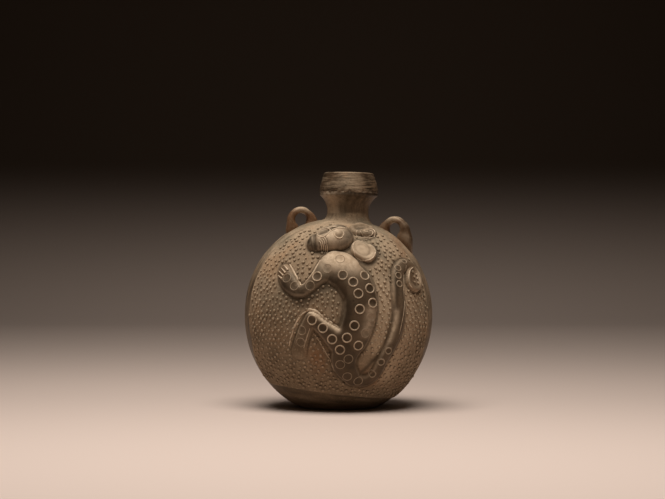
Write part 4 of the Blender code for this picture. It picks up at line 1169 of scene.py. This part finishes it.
def fineChains():
    chains = []
    for path in fineLines["rims"].values():
        line = surfaceLine(path)
        ends = np.linspace(0.0, 1.0, len(line))
        chains.append((line, 0.35 + 0.65 * np.sin(np.pi * ends) ** 0.4, False))
    ring = fineLines["earRing"]
    chains.append((ringLine(ring["at"], ring["radius"], ring["count"]), ring["thickness"], True))
    chains += whiskerChains()
    for claw in fineLines["claws"]:
        line = surfaceLine(claw, 8, fineLines["clawLift"])
        chains.append((line, np.linspace(*fineLines["clawThickness"], len(line)), False))
    return chains


makeLines("fineCarving", fineChains(), fineLines, fineLines["tone"])

rims = {
    "Thickness": 1.0 * mm, "Sides": 7, "Unevenness": 0.5, "Clay": ridgeClay,
    # how thick each rim is, how far sunk, how worn pale with a painted highlight on ridges that face the
    # light, and its path
    "paths": {
        "foldLeft": (1.15, 0.1, 1.0, ((-51.0, 54.3), (-44.4, 43.0), (-37.8, 31.8))),
        "foldRight": (0.85, 0.0, 0.95, (
            (-37.8, 31.8), (-32.0, 36.4), (-26.0, 42.7), (-22.2, 49.6), (-18.7, 57.5))),
        "thighTop": (1.9, 0.45, 0.95, (
            (-34.0, 7.4), (-29.0, 8.9), (-22.4, 6.8), (-11.6, -1.3), (0.2, -9.2))),
        "shinLeft": (0.8, 0.2, 1.0, (
            (-29.6, 9.2), (-37.6, 3.8), (-43.6, -5.3), (-48.0, -17.8), (-50.6, -29.0))),
        "shinRight": (0.5, 0.4, 0.6, ((-28.4, -9.4), (-32.0, -19.8), (-35.2, -30.3))),
        "thighLow": (0.55, 0.4, 0.7, (
            (-26.4, -13.3), (-19.9, -22.7), (-12.8, -35.5), (-7.8, -44.7), (-4.5, -54.3))),
        "tailRight": (0.55, 0.4, 0.65, (
            (67.2, 50.4), (66.9, 41.8), (66.5, 27.4), (65.4, 14.8), (63.0, 0.4), (59.5, -16.0))),
    },
}
for name, (thickness, sunk, worn, path) in rims["paths"].items():
    line = surfaceLine(path, 7, -sunk * thickness)
    width = thickness * (0.3 + 0.7 * np.sin(np.linspace(0.15, 3.0, len(line))) ** 0.6)
    makeLines(name, [(line, width, False)], rims, {"burnish": 0.0, "wear": worn})
print("rings and carved lines made")

stipple = {
    "Bump radius": 1.32 * mm, "Height share": 0.85, "Spacing": 3.6 * mm, "Density": 300000.0,
    "Clay": bumpClay, "sizes": (0.78, 1.22), "tip": (0.15 * mm, 1.2 * mm),
    "seeds": {"frontStipple": 11, "backStipple": 12},
}


def bumpTree():
    # scatters small clay pellets where the stipple mask is set
    wire, take, end = newTree("pressedBumps", (
        ("Bump radius", "NodeSocketFloat", 1.0 * mm), ("Height share", "NodeSocketFloat", 0.6),
        ("Spacing", "NodeSocketFloat", 4.0 * mm), ("Density", "NodeSocketFloat", 1e5),
        ("Seed", "NodeSocketInt", 0)))
    factor = wire.node("GeometryNodeInputNamedAttribute", {"data_type": "FLOAT"}, {"Name": "stipple"})
    spread = wire.node("GeometryNodeDistributePointsOnFaces", {"distribute_method": "POISSON"}, {
        "Mesh": take("Geometry"), "Distance Min": take("Spacing"), "Density Max": take("Density"),
        "Density Factor": factor, "Seed": take("Seed")})
    facing = Wire(wire.tree, spread.socket.node.outputs["Rotation"])
    ball = wire.node("GeometryNodeMeshUVSphere", {}, {
        "Segments": 7, "Rings": 4, "Radius": take("Bump radius")})
    place = wire.node("GeometryNodeInputPosition", {}, {})
    tipHeight = wire.node("ShaderNodeSeparateXYZ", {}, {0: place}, 2)
    tipped = wire.node("GeometryNodeStoreNamedAttribute", {"data_type": "FLOAT", "domain": "POINT"}, {
        "Geometry": ball, "Name": "tip", "Value": tipHeight.span(*stipple["tip"])})
    flat = wire.node("ShaderNodeCombineXYZ", {}, {0: 1.0, 1: 1.0, 2: take("Height share")})
    squashed = wire.node("GeometryNodeTransform", {}, {"Geometry": tipped, "Scale": flat})
    smallest, largest = stipple["sizes"]
    size = wire.node("FunctionNodeRandomValue", {"data_type": "FLOAT"}, {
        2: smallest, 3: largest, "Seed": take("Seed")}, 1)
    return end(wire.node("GeometryNodeInstanceOnPoints", {}, {
        "Points": spread, "Instance": squashed, "Rotation": facing, "Scale": size}))


pressedBumps = bumpTree()


def makeBumps(name, keepFront, seed):
    item = addObject(name, jarSkin.data.copy())
    shell = bmesh.new()
    shell.from_mesh(item.data)
    away = [v for v in shell.verts if (v.co.y > 0.0) == keepFront]
    bmesh.ops.delete(shell, geom=away, context="VERTS")
    shell.to_mesh(item.data)
    shell.free()
    growPiece(item, pressedBumps, {**stipple, "Seed": seed})
    finishPiece(item)
    print(name, "has", len(item.data.polygons), "faces")


for name, seed in stipple["seeds"].items():
    makeBumps(name, name == "frontStipple", seed)

studio = {
    "floorFront": -3.0, "floorHalfWidth": 3.2, "sweepStart": 1.45, "sweepRadius": 0.9, "wallTop": 3.2,
    "floorColour": (0.74, 0.61, 0.54, 1.0), "shadeColour": (0.046, 0.031, 0.021, 1.0),
    "shadeFrom": 0.0, "shadeTo": 0.34,  # painted shade: the paper is graded from pale to dark up the sweep
    "floorShadeFrom": -0.48, "floorShadeTo": 0.12, "floorShadeShare": 0.24,  # and a little painted shade already on the floor
    "roughness": 0.85, "specular": 0.15,
    "lightColour": (1.0, 0.94, 0.88),
    "world": (0.036, 0.028, 0.020, 1.0),
}
lights = {
    "key": {"place": (-0.06, -0.30, 1.15), "aim": (0.0, -0.16, 0.0), "size": (0.95, 0.65),
            "power": 7.8, "spread": math.radians(118.0)},
    "sweepGlow": {"place": (0.0, 0.9, 1.3), "aim": (0.0, 1.7, 0.0), "size": (1.6, 0.6),
                  "power": 3.0, "spread": math.radians(150.0)},
}


def paperMaterial():
    paper = bpy.data.materials.new("paper")
    paper.use_nodes = True
    shader = paper.node_tree.nodes["Principled BSDF"]
    wire = Wire(paper.node_tree)
    place = wire.node("ShaderNodeTexCoord", {}, {}, 3)
    rise = wire.node("ShaderNodeSeparateXYZ", {}, {0: place}, 2)
    depth = wire.node("ShaderNodeSeparateXYZ", {}, {0: place}, 1).span(studio["floorShadeFrom"], studio["floorShadeTo"])
    paler = (depth * studio["floorShadeShare"]).mixed(studio["floorColour"], studio["shadeColour"])
    # painted falloff of light: the floor darker further back, the paper darker up the sweep
    paintedFalloff = rise.span(studio["shadeFrom"], studio["shadeTo"]).mixed(paler, studio["shadeColour"])
    paper.node_tree.links.new(paintedFalloff.socket, shader.inputs["Base Color"])
    shader.inputs["Roughness"].default_value = studio["roughness"]
    shader.inputs["Specular IOR Level"].default_value = studio["specular"]
    return paper


def makeStage():
    profile = [(studio["floorFront"], 0.0), (studio["sweepStart"], 0.0)]
    for angle in np.radians(np.linspace(7.5, 90.0, 12)):
        profile.append((studio["sweepStart"] + studio["sweepRadius"] * math.sin(angle),
                        studio["sweepRadius"] * (1.0 - math.cos(angle))))
    profile.append((profile[-1][0], studio["wallTop"]))
    half = studio["floorHalfWidth"]
    points = [(x / mm, y / mm, z / mm) for y, z in profile for x in (-half, half)]
    faces = [(2 * k, 2 * k + 1, 2 * k + 3, 2 * k + 2) for k in range(len(profile) - 1)]
    backdrop = meshOf("backdrop", points, faces, paperMaterial(), {})


def makeLight(name, light):
    lamp = bpy.data.lights.new(name, "AREA")
    lamp.shape = "RECTANGLE"
    lamp.size, lamp.size_y = light["size"]
    lamp.energy = light["power"]
    lamp.color = studio["lightColour"]
    lamp.spread = light["spread"]
    item = addObject(name, lamp)
    item.location = light["place"]
    aim = Vector(light["aim"]) - Vector(light["place"])
    item.rotation_euler = aim.to_track_quat("-Z", "Y").to_euler()


makeStage()
for name, light in lights.items():
    makeLight(name, light)
world = bpy.data.worlds.new("dimRoom")
world.use_nodes = True
world.node_tree.nodes["Background"].inputs["Color"].default_value = studio["world"]
bpy.context.scene.world = world
bpy.context.scene.view_settings.view_transform = "Standard"

# The camera stands level in front, a little left of the jar's middle and two thirds up it
view = {"distance": 1300.0, "across": -5.1, "height": 134.5, "mmPerPixel": 0.856, "pixelsAcross": 665}
lens = bpy.data.cameras.new("camera")
lens.sensor_width = 36.0
lens.lens = lens.sensor_width * view["distance"] / (view["pixelsAcross"] * view["mmPerPixel"])
camera = addObject("camera", lens)
camera.location = (view["across"] * mm, -view["distance"] * mm, view["height"] * mm)
camera.rotation_euler = (math.pi / 2, 0.0, 0.0)
bpy.context.scene.camera = camera
print("stage, light and camera set")
